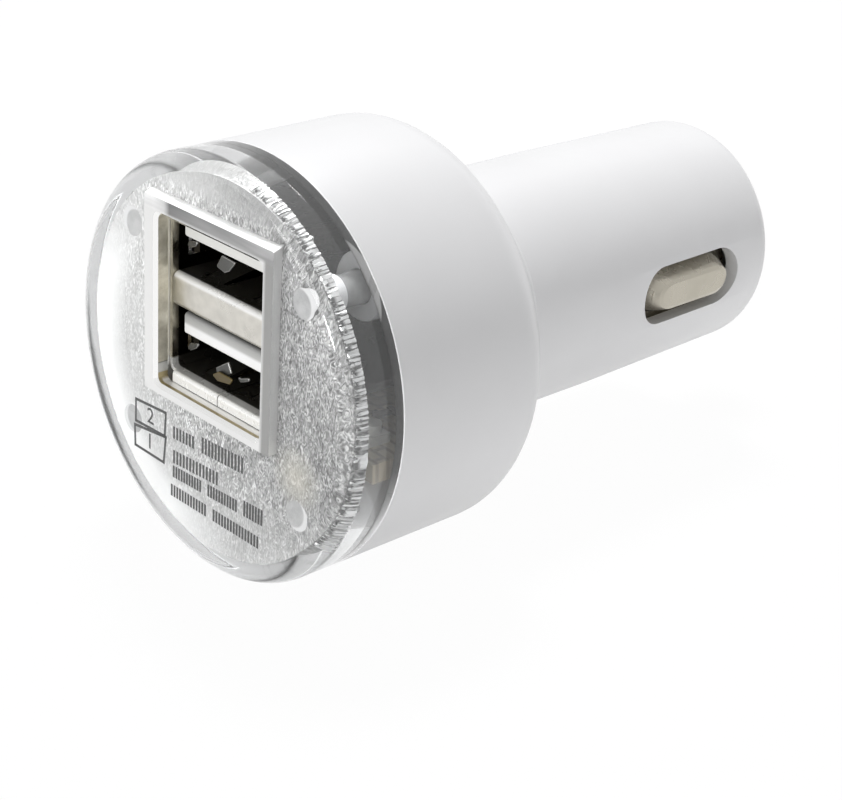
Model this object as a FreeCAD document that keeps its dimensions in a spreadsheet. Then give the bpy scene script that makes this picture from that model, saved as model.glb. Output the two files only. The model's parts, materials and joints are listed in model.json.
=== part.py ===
import FreeCAD, Part
import math
import os
import Sketcher

# The charger lies along Y: ports towards -Y, sprung tip towards +Y, +Z up.
# The origin is on the plug's axis, where the straight barrel leaves the collar of the head.

SIZES = {
    # white housing: round head, collar and plug barrel in one moulding
    "head_radius": 16.8, "head_length": 15.8, "head_rear_round": 3.3, "head_wall": 1.7, "head_floor": 1.8,
    "collar_step": 0.6, "collar_length": 4.2, "collar_round": 0.5,
    "barrel_radius": 10.4, "barrel_land": 12.0, "barrel_length": 30.8, "barrel_wall": 1.3,
    "nose_taper": 0.3, "nose_round": 1.6, "nose_wall": 1.8,
    "slot_from_nose": 11.2, "slot_length": 12.6, "slot_width": 5.2,
    "boss_radius": 2.5, "boss_recess": 0.5, "boss_hole_depth": 3.6,
    # clear cap with its pins and the frame around the ports
    "cap_depth": 4.85, "cap_edge_round": 1.45, "cover_thickness": 1.65, "frame_stand": 1.0,
    "pin_radius": 1.2, "pin_clearance": 0.05, "pin_end_gap": 0.5,
    "pin_side_gap": 3.65, "pin_inset": 1.56, "pin_drop_less": 1.0,
    "window_width": 12.6, "window_height": 13.9, "window_drop": 11.25, "window_round": 0.5,
    "frame_side": 1.4, "frame_top": 1.35, "frame_bottom": 0.8, "window_bevel": 0.4,
    # textured plate behind the cap's clear cover
    "plate_thickness": 0.63, "plate_clearance": 0.05,
    # stacked double receptacle
    "stack_recess": 1.6, "stack_clearance": 0.05, "shell_width": 13.1, "shell_length": 14.0, "sheet": 0.3,
    "shell_round": 0.7, "lower_floor_drop": 6.0, "port_height": 5.15, "divider_height": 2.85,
    "divider_round": 0.6, "divider_length": 9.5, "divider_side_gap": 0.05, "lip_height": 0.9,
    "lip_length": 0.8, "lip_side_inset": 0.9, "seam_gap": 0.12,
    "finger_length": 4.6, "side_finger_bend": 0.6, "finger_start": 1.5, "finger_height": 3.2,
    "floor_finger_width": 2.0, "floor_finger_spread": 2.9, "floor_finger_bend": 0.8,
    "tongue_width": 11.1, "tongue_thickness": 1.84, "tongue_gap": 2.85, "tongue_recess": 0.65,
    "tongue_round": 0.35, "base_length": 3.6,
    "contact_width": 1.0, "contact_thickness": 0.25, "contact_inner": 1.0, "contact_outer": 3.5,
    "contact_recess": 0.9, "upper_tail_gap": 2.1, "lower_tail_gap": 0.5, "contact_slot_clearance": 0.04,
    # circuit board
    "board_thickness": 1.4, "board_front_gap": 0.15, "board_side_gap": 0.7, "board_back_gap": 0.6,
    "tail_side_gap": 1.7, "tail_end": 9.0, "strip_width": 8.4, "strip_end": 18.1, "lead_hole_radius": 0.6,
    # parts on the board
    "chip_length": 4.9, "chip_width": 3.9, "chip_height": 1.5, "chip_stand_off": 0.1, "chip_y": -2.6,
    "lead_width": 0.42, "lead_pitch": 1.27, "lead_reach": 1.0, "lead_sheet": 0.2,
    "coil_radius": 3.0, "coil_height": 4.6, "coil_flange": 0.8, "coil_post": 1.3, "coil_wire": 0.5,
    "coil_x": 3.6, "coil_y": -0.9, "coil_clearance": 0.05, "coil_turn_share": 0.52,
    "out_cap_radius": 3.0, "out_cap_height": 5.8, "out_cap_x": 3.6, "out_cap_base": 0.9,
    "in_cap_radius": 3.1, "in_cap_length": 8.6, "in_cap_start": 2.9, "in_cap_lead": 0.3,
    "in_cap_groove": 0.35, "in_cap_lead_spread": 1.25, "in_cap_lead_reach": 1.0,
    "diode_length": 4.3, "diode_width": 2.6, "diode_height": 2.1, "diode_side_gap": 3.2, "diode_y": 4.6,
    "tab_sheet": 0.2, "tab_reach": 0.45,
    "fuse_length": 6.1, "fuse_width": 2.5, "fuse_height": 1.8, "fuse_end": 1.1, "fuse_side_gap": 3.5,
    "fuse_y": 4.6,
    "resistor_length": 1.6, "resistor_width": 0.8, "resistor_height": 0.45, "resistor_end": 0.36,
    "resistor_gap": 2.85,
    "ceramic_length": 2.0, "ceramic_width": 1.25, "ceramic_height": 0.9, "ceramic_end": 0.45,
    "ceramic_from_side": 2.4,
    "led_size": 1.9, "led_height": 0.7, "led_dome_radius": 0.76, "led_dome": 0.7,
    "led_from_side": 2.8, "led_from_front": 2.4,
    # sprung centre tip
    "tip_radius": 3.3, "tip_stand_out": 7.6, "tip_round": 1.5, "tip_flange_radius": 4.4, "tip_flange": 1.2,
    "tip_clearance": 0.08, "tip_bore_depth": 5.0, "tip_seat_gap": 0.02,
    "spring_radius": 1.7, "spring_wire": 0.45, "spring_turns": 7, "spring_end_gap": 0.03, "spring_room": 0.15,
    "terminal_radius": 2.3, "terminal_sheet": 0.5, "terminal_foot": 3.0, "terminal_width": 3.0,
    "terminal_spigot": 1.1, "terminal_spigot_length": 1.6,
    # sprung side contacts
    "side_crown": 0.15, "side_foot_length": 11.6, "side_foot_width": 4.3, "side_top_length": 8.6,
    "side_top_width": 2.6, "side_flange_margin": 0.9, "side_flange": 0.4, "side_flange_sink": 2.65,
    "side_round": 0.5, "side_wall": 0.5,
    "leaf_sheet": 0.3, "leaf_width": 3.4, "leaf_foot_inset": 1.15, "leaf_foot_start": 4.2,
    "leaf_foot_length": 4.2, "leaf_reach": 20.4, "leaf_gap": 0.02, "leaf_land": 3.0, "leaf_bend": 0.8,
}

doc = FreeCAD.newDocument("usb_car_charger")
sheet = doc.addObject("Spreadsheet::Sheet", "sizes")
for row, (alias, value) in enumerate(SIZES.items(), start=1):
    sheet.set(f"A{row}", alias)
    sheet.set(f"B{row}", str(value))
    sheet.setAlias(f"B{row}", alias)
doc.recompute()


LEADS_A_SIDE = 4


class Size:
    """A length: its value in millimetres and the expression over the sheet that gives it."""

    def __init__(self, value, text):
        self.value = value
        self.text = text

    @staticmethod
    def of(other):
        return other if isinstance(other, Size) else Size(float(other), repr(float(other)))

    def join(self, other, sign, value):
        return Size(value, f"({self.text} {sign} {other.text})")

    def __add__(self, other):
        other = Size.of(other)
        return self.join(other, "+", self.value + other.value)

    def __sub__(self, other):
        other = Size.of(other)
        return self.join(other, "-", self.value - other.value)

    def __mul__(self, other):
        other = Size.of(other)
        return self.join(other, "*", self.value * other.value)

    def __truediv__(self, other):
        other = Size.of(other)
        return self.join(other, "/", self.value / other.value)

    def __radd__(self, other):
        return Size.of(other) + self

    def __rsub__(self, other):
        return Size.of(other) - self

    def __rmul__(self, other):
        return Size.of(other) * self

    def beside(self, other):
        """The other leg of a right triangle that has this as its longest side."""
        value = math.sqrt(self.value ** 2 - other.value ** 2)
        return Size(value, f"sqrt({self.text} ^ 2 - {other.text} ^ 2)")

    def __neg__(self):
        return Size(-self.value, f"(0 - {self.text})")


class Sheet:
    """The named sizes of the sheet, each as a Size."""

    def __getattr__(self, alias):
        return Size(float(sheet.get(alias)), f"sizes.{alias}")


S = Sheet()


# Stations along the axis and heights that several pieces share

seam_y = -(S.collar_length + S.head_length)
crest_y = seam_y - S.cap_depth
shoulder_y = -S.collar_length
floor_y = shoulder_y - S.head_floor
head_inner = S.head_radius - S.head_wall
barrel_inner = S.barrel_radius - S.barrel_wall
nose_radius = S.barrel_radius - S.nose_taper
collar_radius = S.barrel_radius + S.collar_step
nose_inner_y = S.barrel_length - S.nose_wall
slot_y = S.barrel_length - S.slot_from_nose
cover_back_y = crest_y + S.cover_thickness
plate_back_y = cover_back_y + S.plate_thickness
frame_back_y = plate_back_y + S.frame_stand
stack_y = crest_y + S.stack_recess
window_middle = head_inner - S.window_drop
lower_floor = window_middle - S.lower_floor_drop
lower_ceiling = lower_floor + S.port_height
upper_floor = lower_ceiling + S.divider_height
upper_ceiling = upper_floor + S.port_height
shell_bottom = lower_floor - S.sheet
shell_top = upper_ceiling + S.sheet
shell_half = S.shell_width / 2
shell_back_y = stack_y + S.shell_length
board_top = shell_bottom
board_bottom = board_top - S.board_thickness
board_front_y = frame_back_y + S.board_front_gap
board_back_y = floor_y - S.board_back_gap
board_half = head_inner - S.board_side_gap
tail_half = barrel_inner - S.tail_side_gap
side_flange_x = S.barrel_radius - S.side_flange_sink


# Helpers that draw and build

def place(obj, x=None, y=None, z=None):
    """Puts an object's placement at three sizes."""
    at = [Size.of(v if v is not None else 0) for v in (x, y, z)]
    obj.Placement = FreeCAD.Placement(FreeCAD.Vector(*[v.value for v in at]), FreeCAD.Rotation())
    for axis, v in zip("xyz", at):
        obj.setExpression(f"Placement.Base.{axis}", v.text)


def body(label):
    new = doc.addObject("PartDesign::Body", label)
    new.Label = label
    return new


def sketch(owner, name, plane, offset=None, origin=None):
    """A sketch on one of the body's origin planes, shifted along the plane's normal by offset and
    with its own origin moved in the plane to the two sizes of origin."""
    new = owner.newObject("Sketcher::SketchObject", name)
    face = next(f for f in owner.Origin.OriginFeatures if f.Role == plane)
    new.AttachmentSupport = (face, [""])
    new.MapMode = "FlatFace"
    shift = [Size.of(v) for v in (*(origin or (0, 0)), offset or 0)]
    new.AttachmentOffset = FreeCAD.Placement(FreeCAD.Vector(*[v.value for v in shift]), FreeCAD.Rotation())
    for axis, v in zip("xyz", shift):
        new.setExpression(f"AttachmentOffset.Base.{axis}", v.text)
    return new


def pin_down(sk, shape, end, point):
    """Ties one end of a sketch line or arc to a point given by two sizes."""
    for kind, axis, v in (("DistanceX", -2, point[0]), ("DistanceY", -1, point[1])):
        if v.text == "0.0":
            sk.addConstraint(Sketcher.Constraint("PointOnObject", shape, end, axis))
            continue
        k = sk.addConstraint(Sketcher.Constraint(kind, -1, 1, shape, end, v.value))
        sk.setExpression(f"Constraints[{k}]", v.text)


def outline(sk, corners):
    """A closed outline. A corner is (u, v), or (u, v, r) where an arc of radius r leads on to the next
    corner, turning left for a positive r and right for a negative one."""
    shapes = []
    for n, corner in enumerate(corners):
        a = [Size.of(v) for v in corner[:2]]
        b = [Size.of(v) for v in corners[(n + 1) % len(corners)][:2]]
        start = FreeCAD.Vector(a[0].value, a[1].value, 0)
        finish = FreeCAD.Vector(b[0].value, b[1].value, 0)
        if len(corner) == 2:
            shape = sk.addGeometry(Part.LineSegment(start, finish), False)
            shapes.append((shape, 1, 2, a))
            continue
        radius = Size.of(corner[2])
        left = radius.value > 0
        chord = finish - start
        half = chord.Length / 2
        rise = math.sqrt(max(radius.value ** 2 - half ** 2, 0))
        normal = FreeCAD.Vector(-chord.y, chord.x, 0).normalize()
        centre = start + chord * 0.5 + normal * (rise if left else -rise)
        first, last = (start, finish) if left else (finish, start)
        angles = [math.atan2(p.y - centre.y, p.x - centre.x) for p in (first, last)]
        circle = Part.Circle(centre, FreeCAD.Vector(0, 0, 1), abs(radius.value))
        shape = sk.addGeometry(Part.ArcOfCircle(circle, *angles), False)
        shapes.append((shape, 1 if left else 2, 2 if left else 1, a))
        if rise > 1e-6:
            k = sk.addConstraint(Sketcher.Constraint("Radius", shape, abs(radius.value)))
            sk.setExpression(f"Constraints[{k}]", radius.text if left else (-radius).text)
        else:
            # a half circle on an upright chord: its centre is level with the chord's ends
            k = sk.addConstraint(Sketcher.Constraint("DistanceX", -1, 1, shape, 3, centre.x))
            sk.setExpression(f"Constraints[{k}]", a[0].text)
    for n, (shape, first, last, a) in enumerate(shapes):
        following = shapes[(n + 1) % len(shapes)]
        sk.addConstraint(Sketcher.Constraint("Coincident", shape, last, following[0], following[1]))
        pin_down(sk, shape, first, a)


def circle(sk, u, v, radius):
    u, v, radius = Size.of(u), Size.of(v), Size.of(radius)
    centre = FreeCAD.Vector(u.value, v.value, 0)
    shape = sk.addGeometry(Part.Circle(centre, FreeCAD.Vector(0, 0, 1), radius.value), False)
    k = sk.addConstraint(Sketcher.Constraint("Radius", shape, radius.value))
    sk.setExpression(f"Constraints[{k}]", radius.text)
    pin_down(sk, shape, 3, (u, v))


def box_outline(sk, u0, u1, v0, v1, r=None):
    """A rectangle, with rounded corners where r is given."""
    if r is None:
        outline(sk, [(u0, v0), (u1, v0), (u1, v1), (u0, v1)])
        return
    outline(sk, [
        (u0 + r, v0), (u1 - r, v0, r), (u1, v0 + r), (u1, v1 - r, r),
        (u1 - r, v1), (u0 + r, v1, r), (u0, v1 - r), (u0, v0 + r, r),
    ])


def slot_outline(sk, u, v, length, width):
    """A slot with round ends, long along u, centred on (u, v)."""
    r = width / 2
    flat = length / 2 - r
    outline(sk, [(u - flat, v - r), (u + flat, v - r, r), (u + flat, v + r), (u - flat, v + r, r)])


def extrude(kind, owner, name, sk, length, backwards=False):
    """A pad or pocket; backwards turns its direction round."""
    new = owner.newObject(f"PartDesign::{kind}", name)
    new.Profile = sk
    if length is None:
        new.Type = "ThroughAll"
    else:
        new.Length = length.value
        new.setExpression("Length", length.text)
    new.Reversed = backwards
    doc.recompute()
    return new


def turn(owner, name, sk):
    """A revolution about the sketch's vertical axis."""
    new = owner.newObject("PartDesign::Revolution", name)
    new.Profile = sk
    new.ReferenceAxis = (sk, ["V_Axis"])
    new.Angle = 360
    doc.recompute()
    return new


def across(owner, name, start_y):
    """A sketch across the axis at start_y: u is X and v is Z, and a pad on it grows towards -Y."""
    return sketch(owner, name, "XZ_Plane", -start_y)


def edges_where(feature, test):
    """The names of a feature's edges whose ends and middle all pass the test."""
    names = []
    for n, edge in enumerate(feature.Shape.Edges, start=1):
        points = [v.Point for v in edge.Vertexes] + [edge.CenterOfMass]
        if all(test(p) for p in points):
            names.append(f"Edge{n}")
    return names


def near(a, b):
    return abs(a - b) < 1e-4


def soften(kind, owner, name, base, edges, size):
    """A fillet or chamfer on the base feature's edges."""
    new = owner.newObject(f"PartDesign::{kind}", name)
    new.Base = (base, edges)
    key = "Radius" if kind == "Fillet" else "Size"
    setattr(new, key, size.value)
    new.setExpression(key, size.text)
    doc.recompute()
    return new


def block(label, x0, x1, y0, y1, z0, z1):
    """A box between six sizes."""
    new = doc.addObject("Part::Box", label)
    for key, low, high in (("Length", x0, x1), ("Width", y0, y1), ("Height", z0, z1)):
        span = Size.of(high) - Size.of(low)
        setattr(new, key, span.value)
        new.setExpression(key, span.text)
    place(new, x0, y0, z0)
    return new


def group(label, members, join=False):
    """Several shapes as one object: apart as a compound, or fused."""
    new = doc.addObject("Part::MultiFuse" if join else "Part::Compound", label)
    if join:
        new.Shapes = members
    else:
        new.Links = members
    new.Label = label
    return new


nodes = {}


def keep(name, obj):
    nodes[name] = obj
    return obj


# Housing: head cup, collar and barrel turned in one profile, with pin bosses and two side slots

def pin_places():
    """The four pins of the cap beside the receptacle: two above and two a little nearer below."""
    spread = shell_half + S.pin_side_gap
    rise = (head_inner - S.pin_inset).beside(spread)
    return [(side * spread, height) for side in (-1, 1) for height in (rise, S.pin_drop_less - rise)]


def make_housing():
    b = body("housing")
    tip_hole = S.tip_radius + S.tip_clearance
    sk = sketch(b, "housing_section", "XY_Plane")
    outline(sk, [
        (head_inner, seam_y),
        (S.head_radius, seam_y),
        (S.head_radius, shoulder_y - S.head_rear_round, S.head_rear_round),
        (S.head_radius - S.head_rear_round, shoulder_y),
        (collar_radius, shoulder_y),
        (collar_radius, -S.collar_round, S.collar_round),
        (collar_radius - S.collar_round, 0),
        (S.barrel_radius, 0),
        (S.barrel_radius, S.barrel_land),
        (nose_radius, S.barrel_length - S.nose_round, S.nose_round),
        (nose_radius - S.nose_round, S.barrel_length),
        (tip_hole, S.barrel_length),
        (tip_hole, nose_inner_y),
        (nose_radius - S.barrel_wall, nose_inner_y),
        (barrel_inner, S.barrel_land),
        (barrel_inner, floor_y),
        (head_inner, floor_y),
    ])
    turn(b, "housing_turned", sk)

    sk = across(b, "boss_circles", floor_y)
    for x, z in pin_places():
        circle(sk, x, z, S.boss_radius)
    extrude("Pad", b, "bosses", sk, floor_y - (seam_y + S.boss_recess))

    sk = across(b, "boss_hole_circles", seam_y + S.boss_recess)
    for x, z in pin_places():
        circle(sk, x, z, S.pin_radius + S.pin_clearance)
    extrude("Pocket", b, "boss_holes", sk, S.boss_hole_depth)

    for side, name in ((1, "right"), (-1, "left")):
        sk = sketch(b, f"slot_outline_{name}", "YZ_Plane")
        slot_outline(sk, slot_y, 0, S.slot_length, S.slot_width)
        extrude("Pocket", b, f"slot_{name}", sk, S.head_radius, backwards=side > 0)
    return keep("housing", b)


# Clear cap: a cover that goes over into the rim, a frame behind it around the ports, and four pins

def frame_box(grow=0):
    """The frame's outer sides: left, right, bottom and top."""
    half = S.window_width / 2 + S.frame_side + grow
    low = window_middle - S.window_height / 2 - S.frame_bottom - grow
    high = window_middle + S.window_height / 2 + S.frame_top + grow
    return -half, half, low, high


def make_cap():
    b = body("clear_cap")
    sk = sketch(b, "cap_section", "XY_Plane")
    outline(sk, [
        (head_inner, seam_y),
        (head_inner, cover_back_y),
        (0, cover_back_y),
        (0, crest_y),
        (S.head_radius - S.cap_edge_round, crest_y, S.cap_edge_round),
        (S.head_radius, crest_y + S.cap_edge_round),
        (S.head_radius, seam_y),
    ])
    turn(b, "cap_turned", sk)

    sk = across(b, "frame_outline", frame_back_y)
    box_outline(sk, *frame_box())
    extrude("Pad", b, "port_frame", sk, frame_back_y - cover_back_y)

    half = S.window_width / 2
    low = window_middle - S.window_height / 2
    high = window_middle + S.window_height / 2
    sk = across(b, "window_outline", frame_back_y)
    box_outline(sk, -half, half, low, high, S.window_round)
    window = extrude("Pocket", b, "window", sk, None, backwards=True)
    rim = edges_where(window, lambda p: near(p.y, crest_y.value) and abs(p.x) < (half + S.window_bevel).value
                      and (low - S.window_bevel).value < p.z < (high + S.window_bevel).value)
    soften("Chamfer", b, "bevel", window, rim, S.window_bevel)

    grown = shell_half + S.stack_clearance
    sk = across(b, "stack_pocket_outline", frame_back_y)
    box_outline(sk, -grown, grown, shell_bottom - S.stack_clearance - S.lip_height + S.sheet,
                shell_top + S.stack_clearance)
    extrude("Pocket", b, "stack_pocket", sk, frame_back_y - stack_y + S.lip_length / 2, backwards=True)

    pin_end_y = seam_y + S.boss_recess + S.boss_hole_depth - S.pin_end_gap
    sk = across(b, "pin_circles", pin_end_y)
    for x, z in pin_places():
        circle(sk, x, z, S.pin_radius)
    extrude("Pad", b, "pins", sk, pin_end_y - cover_back_y)
    return keep("clear_cap", b)


# Textured plate: lies behind the cover, around the frame and the pins

def make_plate():
    b = body("textured_plate")
    gap = S.plate_clearance
    sk = across(b, "plate_outline", plate_back_y)
    circle(sk, 0, 0, head_inner - gap)
    box_outline(sk, *frame_box(gap))
    for x, z in pin_places():
        circle(sk, x, z, S.pin_radius + gap)
    extrude("Pad", b, "plate", sk, S.plate_thickness)
    return keep("textured_plate", b)


# Receptacle shell: folded nickel wrap with a rolled lip, a seam and spring fingers

def port_middles():
    """The heights of the middles of the lower and the upper port."""
    return {"lower": lower_floor + S.port_height / 2, "upper": upper_floor + S.port_height / 2}


def floor_finger(b, name, x, floor):
    """A spring finger that rises from a port's floor towards the back."""
    start = stack_y + S.finger_start
    end = start + S.finger_length
    top = floor + S.floor_finger_bend
    sk = sketch(b, f"{name}_bend", "YZ_Plane", x - S.floor_finger_width / 2)
    outline(sk, [
        (start - S.floor_finger_bend, floor - S.sheet),
        (start, floor - S.sheet),
        (end, top - S.sheet),
        (end + S.sheet, top - S.sheet * 2),
        (end + S.sheet * 2, top - S.sheet),
        (end, top),
        (start, floor),
        (start - S.floor_finger_bend, floor),
    ])
    extrude("Pad", b, name, sk, S.floor_finger_width)


def floor_window(b, name, x, floor):
    """The opening that a floor finger was punched from."""
    start = stack_y + S.finger_start
    half = S.floor_finger_width / 2 + S.sheet
    sk = sketch(b, f"{name}_outline", "XY_Plane", floor)
    box_outline(sk, x - half, x + half, start, start + S.finger_length + S.sheet * 2)
    extrude("Pocket", b, name, sk, S.sheet)


def make_shell():
    b = body("usb_shell")
    inner = shell_half - S.sheet
    sk = across(b, "wrap_outline", shell_back_y)
    box_outline(sk, -shell_half, shell_half, shell_bottom, shell_top, S.shell_round)
    extrude("Pad", b, "wrap", sk, S.shell_length)
    sk = across(b, "inside_outline", shell_back_y)
    box_outline(sk, -inner, inner, lower_floor, upper_ceiling, S.shell_round - S.sheet)
    extrude("Pocket", b, "inside", sk, None, backwards=True)

    lip_start = stack_y - S.lip_length / 2
    lip_end = stack_y + S.lip_length / 2
    sk = sketch(b, "lip_section", "YZ_Plane", -(shell_half - S.lip_side_inset))
    outline(sk, [
        (lip_end, lower_floor - S.lip_height),
        (lip_end, lower_floor),
        (lip_start + S.sheet, lower_floor, S.sheet),
        (lip_start, lower_floor - S.sheet),
        (lip_start, lower_floor - S.lip_height),
    ])
    extrude("Pad", b, "lip", sk, S.shell_width - S.lip_side_inset * 2)

    sk = sketch(b, "seam_outline", "XY_Plane", lower_floor + S.sheet)
    box_outline(sk, -S.seam_gap / 2, S.seam_gap / 2, lip_start - S.sheet, shell_back_y + S.sheet)
    extrude("Pocket", b, "seam", sk, S.lip_height + S.sheet * 2)

    start = stack_y + S.finger_start
    end = start + S.finger_length
    for port, middle in port_middles().items():
        low, high = middle - S.finger_height / 2, middle + S.finger_height / 2
        for side, hand in ((1, "right"), (-1, "left")):
            sk = sketch(b, f"{port}_{hand}_window_outline", "YZ_Plane")
            box_outline(sk, start, end, low, high)
            extrude("Pocket", b, f"{port}_{hand}_window", sk, S.shell_width, backwards=side > 0)
    for port, middle in port_middles().items():
        low = middle - S.finger_height / 2 + S.sheet
        for side, hand in ((1, "right"), (-1, "left")):
            sk = sketch(b, f"{port}_{hand}_finger_bend", "XY_Plane", low)
            wall, bent = side * shell_half, side * (shell_half - S.side_finger_bend)
            inward = -side * S.sheet
            corners = [
                (wall, end + S.sheet),
                (wall, end),
                (bent, start + S.side_finger_bend),
                (bent - inward, start + S.sheet),
                (bent, start + S.sheet),
                (bent + inward, start + S.side_finger_bend),
                (wall + inward, end),
                (wall + inward, end + S.sheet),
            ]
            outline(sk, corners)
            extrude("Pad", b, f"{port}_{hand}_finger", sk, S.finger_height - S.sheet * 2)
    for side, hand in ((1, "right"), (-1, "left")):
        x = side * S.floor_finger_spread
        floor_window(b, f"floor_window_{hand}", x, lower_floor)
        floor_finger(b, f"floor_finger_{hand}", x, lower_floor)
    return keep("usb_shell", b)


# Divider between the ports: a folded channel, open to the back

def make_divider():
    b = body("usb_divider")
    half = shell_half - S.sheet - S.divider_side_gap
    r, t = S.divider_round, S.sheet
    back = stack_y + S.divider_length
    sk = sketch(b, "divider_section", "YZ_Plane", -half)
    outline(sk, [
        (back, lower_ceiling),
        (stack_y + r, lower_ceiling, -r),
        (stack_y, lower_ceiling + r),
        (stack_y, upper_floor - r, -r),
        (stack_y + r, upper_floor),
        (back, upper_floor),
        (back, upper_floor - t),
        (stack_y + r, upper_floor - t, r - t),
        (stack_y + t, upper_floor - r),
        (stack_y + t, lower_ceiling + r, r - t),
        (stack_y + r, lower_ceiling + t),
        (back, lower_ceiling + t),
    ])
    extrude("Pad", b, "divider", sk, half * 2)
    for side, hand in ((1, "right"), (-1, "left")):
        x = side * S.floor_finger_spread
        floor_window(b, f"divider_window_{hand}", x, upper_floor)
        floor_finger(b, f"divider_finger_{hand}", x, upper_floor)
    return keep("usb_divider", b)


# White insulator: rear block with a tongue for each port, slotted for the contacts

def contact_columns():
    return [-S.contact_outer, -S.contact_inner, S.contact_inner, S.contact_outer]


def tongue_bottoms():
    return {"lower": lower_floor + S.tongue_gap, "upper": upper_floor + S.tongue_gap}


def make_insulator():
    b = body("usb_insulator")
    inner = shell_half - S.sheet
    gap = S.contact_slot_clearance
    base_front = shell_back_y - S.base_length
    tongue_front = stack_y + S.tongue_recess
    sk = across(b, "base_outline", shell_back_y)
    box_outline(sk, -inner, inner, lower_floor, upper_ceiling, S.shell_round - S.sheet)
    extrude("Pad", b, "base", sk, S.base_length)
    for port, bottom in tongue_bottoms().items():
        top = bottom + S.tongue_thickness
        r = S.tongue_round
        sk = sketch(b, f"{port}_tongue_section", "YZ_Plane", -S.tongue_width / 2)
        outline(sk, [
            (base_front, bottom),
            (base_front, top),
            (tongue_front + r, top, r),
            (tongue_front, top - r),
            (tongue_front, bottom + r, r),
            (tongue_front + r, bottom),
        ])
        extrude("Pad", b, f"{port}_tongue", sk, S.tongue_width)
        sk = across(b, f"{port}_contact_slots_outline", shell_back_y)
        for x in contact_columns():
            half = S.contact_width / 2 + gap
            box_outline(sk, x - half, x + half, bottom - S.contact_thickness - gap, bottom)
        extrude("Pocket", b, f"{port}_contact_slots", sk, S.base_length, backwards=True)
    return keep("usb_insulator", b)


def tail_y(port):
    """How far behind the shell a row's tails go down to the board."""
    return shell_back_y + (S.upper_tail_gap if port == "upper" else S.lower_tail_gap)


def make_contacts():
    for port, top in tongue_bottoms().items():
        front = stack_y + S.tongue_recess + S.contact_recess
        tail, t = tail_y(port), S.contact_thickness
        for n, x in enumerate(contact_columns(), start=1):
            name = f"usb_contact_{port}_{n}"
            b = body(name)
            sk = sketch(b, f"{name}_section", "YZ_Plane", x - S.contact_width / 2)
            outline(sk, [
                (front, top - t),
                (tail, top - t),
                (tail, board_bottom - t),
                (tail + t, board_bottom - t),
                (tail + t, top - t, t),
                (tail, top),
                (front + t, top),
            ])
            extrude("Pad", b, f"{name}_strip", sk, S.contact_width)
            keep(name, b)


# Circuit board: wide in the head, with a tail and a narrow strip in the barrel

def make_board():
    b = body("circuit_board")
    wide, tail, strip = board_half, tail_half, S.strip_width / 2
    sk = sketch(b, "board_outline", "XY_Plane", board_bottom)
    outline(sk, [
        (-wide, board_front_y), (wide, board_front_y), (wide, board_back_y), (tail, board_back_y),
        (tail, S.tail_end), (strip, S.tail_end), (strip, S.strip_end), (-strip, S.strip_end),
        (-strip, S.tail_end), (-tail, S.tail_end), (-tail, board_back_y), (-wide, board_back_y),
    ])
    for port in ("lower", "upper"):
        for x in contact_columns():
            circle(sk, x, tail_y(port) + S.contact_thickness / 2, S.lead_hole_radius)
    extrude("Pad", b, "board", sk, S.board_thickness)
    return keep("circuit_board", b)


# Converter chip under the tail, with four leads a side

def make_chip():
    b = body("converter_chip")
    top = board_bottom - S.chip_stand_off
    low = top - S.chip_height
    half = S.chip_width / 2
    front = S.chip_y - S.chip_length / 2
    sk = across(b, "chip_outline", front + S.chip_length)
    box_outline(sk, -half, half, low, top, S.chip_stand_off * 2)
    extrude("Pad", b, "chip_case", sk, S.chip_length)
    middle = (low + top) / 2
    t, reach = S.lead_sheet, S.lead_reach
    span = S.lead_pitch * (LEADS_A_SIDE - 1)
    first = S.chip_y - span / 2 + S.lead_width / 2
    sk = across(b, "lead_section", first)
    for side in (1, -1):
        outline(sk, [
            (side * (half - t), middle),
            (side * (half + reach / 2), middle),
            (side * (half + reach / 2), board_bottom - t),
            (side * (half + reach), board_bottom - t),
            (side * (half + reach), board_bottom),
            (side * (half + reach / 2 - t), board_bottom),
            (side * (half + reach / 2 - t), middle + t),
            (side * (half - t), middle + t),
        ])
    leads = extrude("Pad", b, "leads", sk, S.lead_width)
    row = b.newObject("PartDesign::LinearPattern", "lead_row")
    row.Originals = [leads]
    row.Direction = (next(f for f in b.Origin.OriginFeatures if f.Role == "Y_Axis"), [""])
    row.Length = span.value
    row.setExpression("Length", span.text)
    row.Occurrences = LEADS_A_SIDE
    b.Tip = row
    return keep("converter_chip", b)


# Power inductor: ferrite drum and its copper winding

def make_inductor():
    b = body("inductor_core")
    at = (S.coil_x, board_top)
    sk = sketch(b, "drum_section", "XZ_Plane", -S.coil_y, at)
    outline(sk, [
        (0, 0),
        (S.coil_radius, 0),
        (S.coil_radius, S.coil_flange),
        (S.coil_post, S.coil_flange),
        (S.coil_post, S.coil_height - S.coil_flange),
        (S.coil_radius, S.coil_height - S.coil_flange),
        (S.coil_radius, S.coil_height),
        (0, S.coil_height),
    ])
    turn(b, "drum", sk)
    keep("inductor_core", b)

    b = body("inductor_winding")
    gap, r = S.coil_clearance, S.coil_wire / 2
    outer = S.coil_radius - r * 2
    low = S.coil_flange + gap
    window = S.coil_height - S.coil_flange * 2 - gap * 2
    turns = math.floor(window.value / S.coil_wire.value)
    pitch = window / turns
    corners = [(S.coil_post + gap, low)]
    for n in range(turns):
        corners.append((outer, low + pitch * n, pitch * S.coil_turn_share))
    corners += [(outer, low + window), (S.coil_post + gap, low + window)]
    sk = sketch(b, "winding_section", "XZ_Plane", -S.coil_y, at)
    outline(sk, corners)
    turn(b, "winding", sk)
    keep("inductor_winding", b)


# Electrolytic cans: one upright on a base, one lying in the barrel on bent leads

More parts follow.
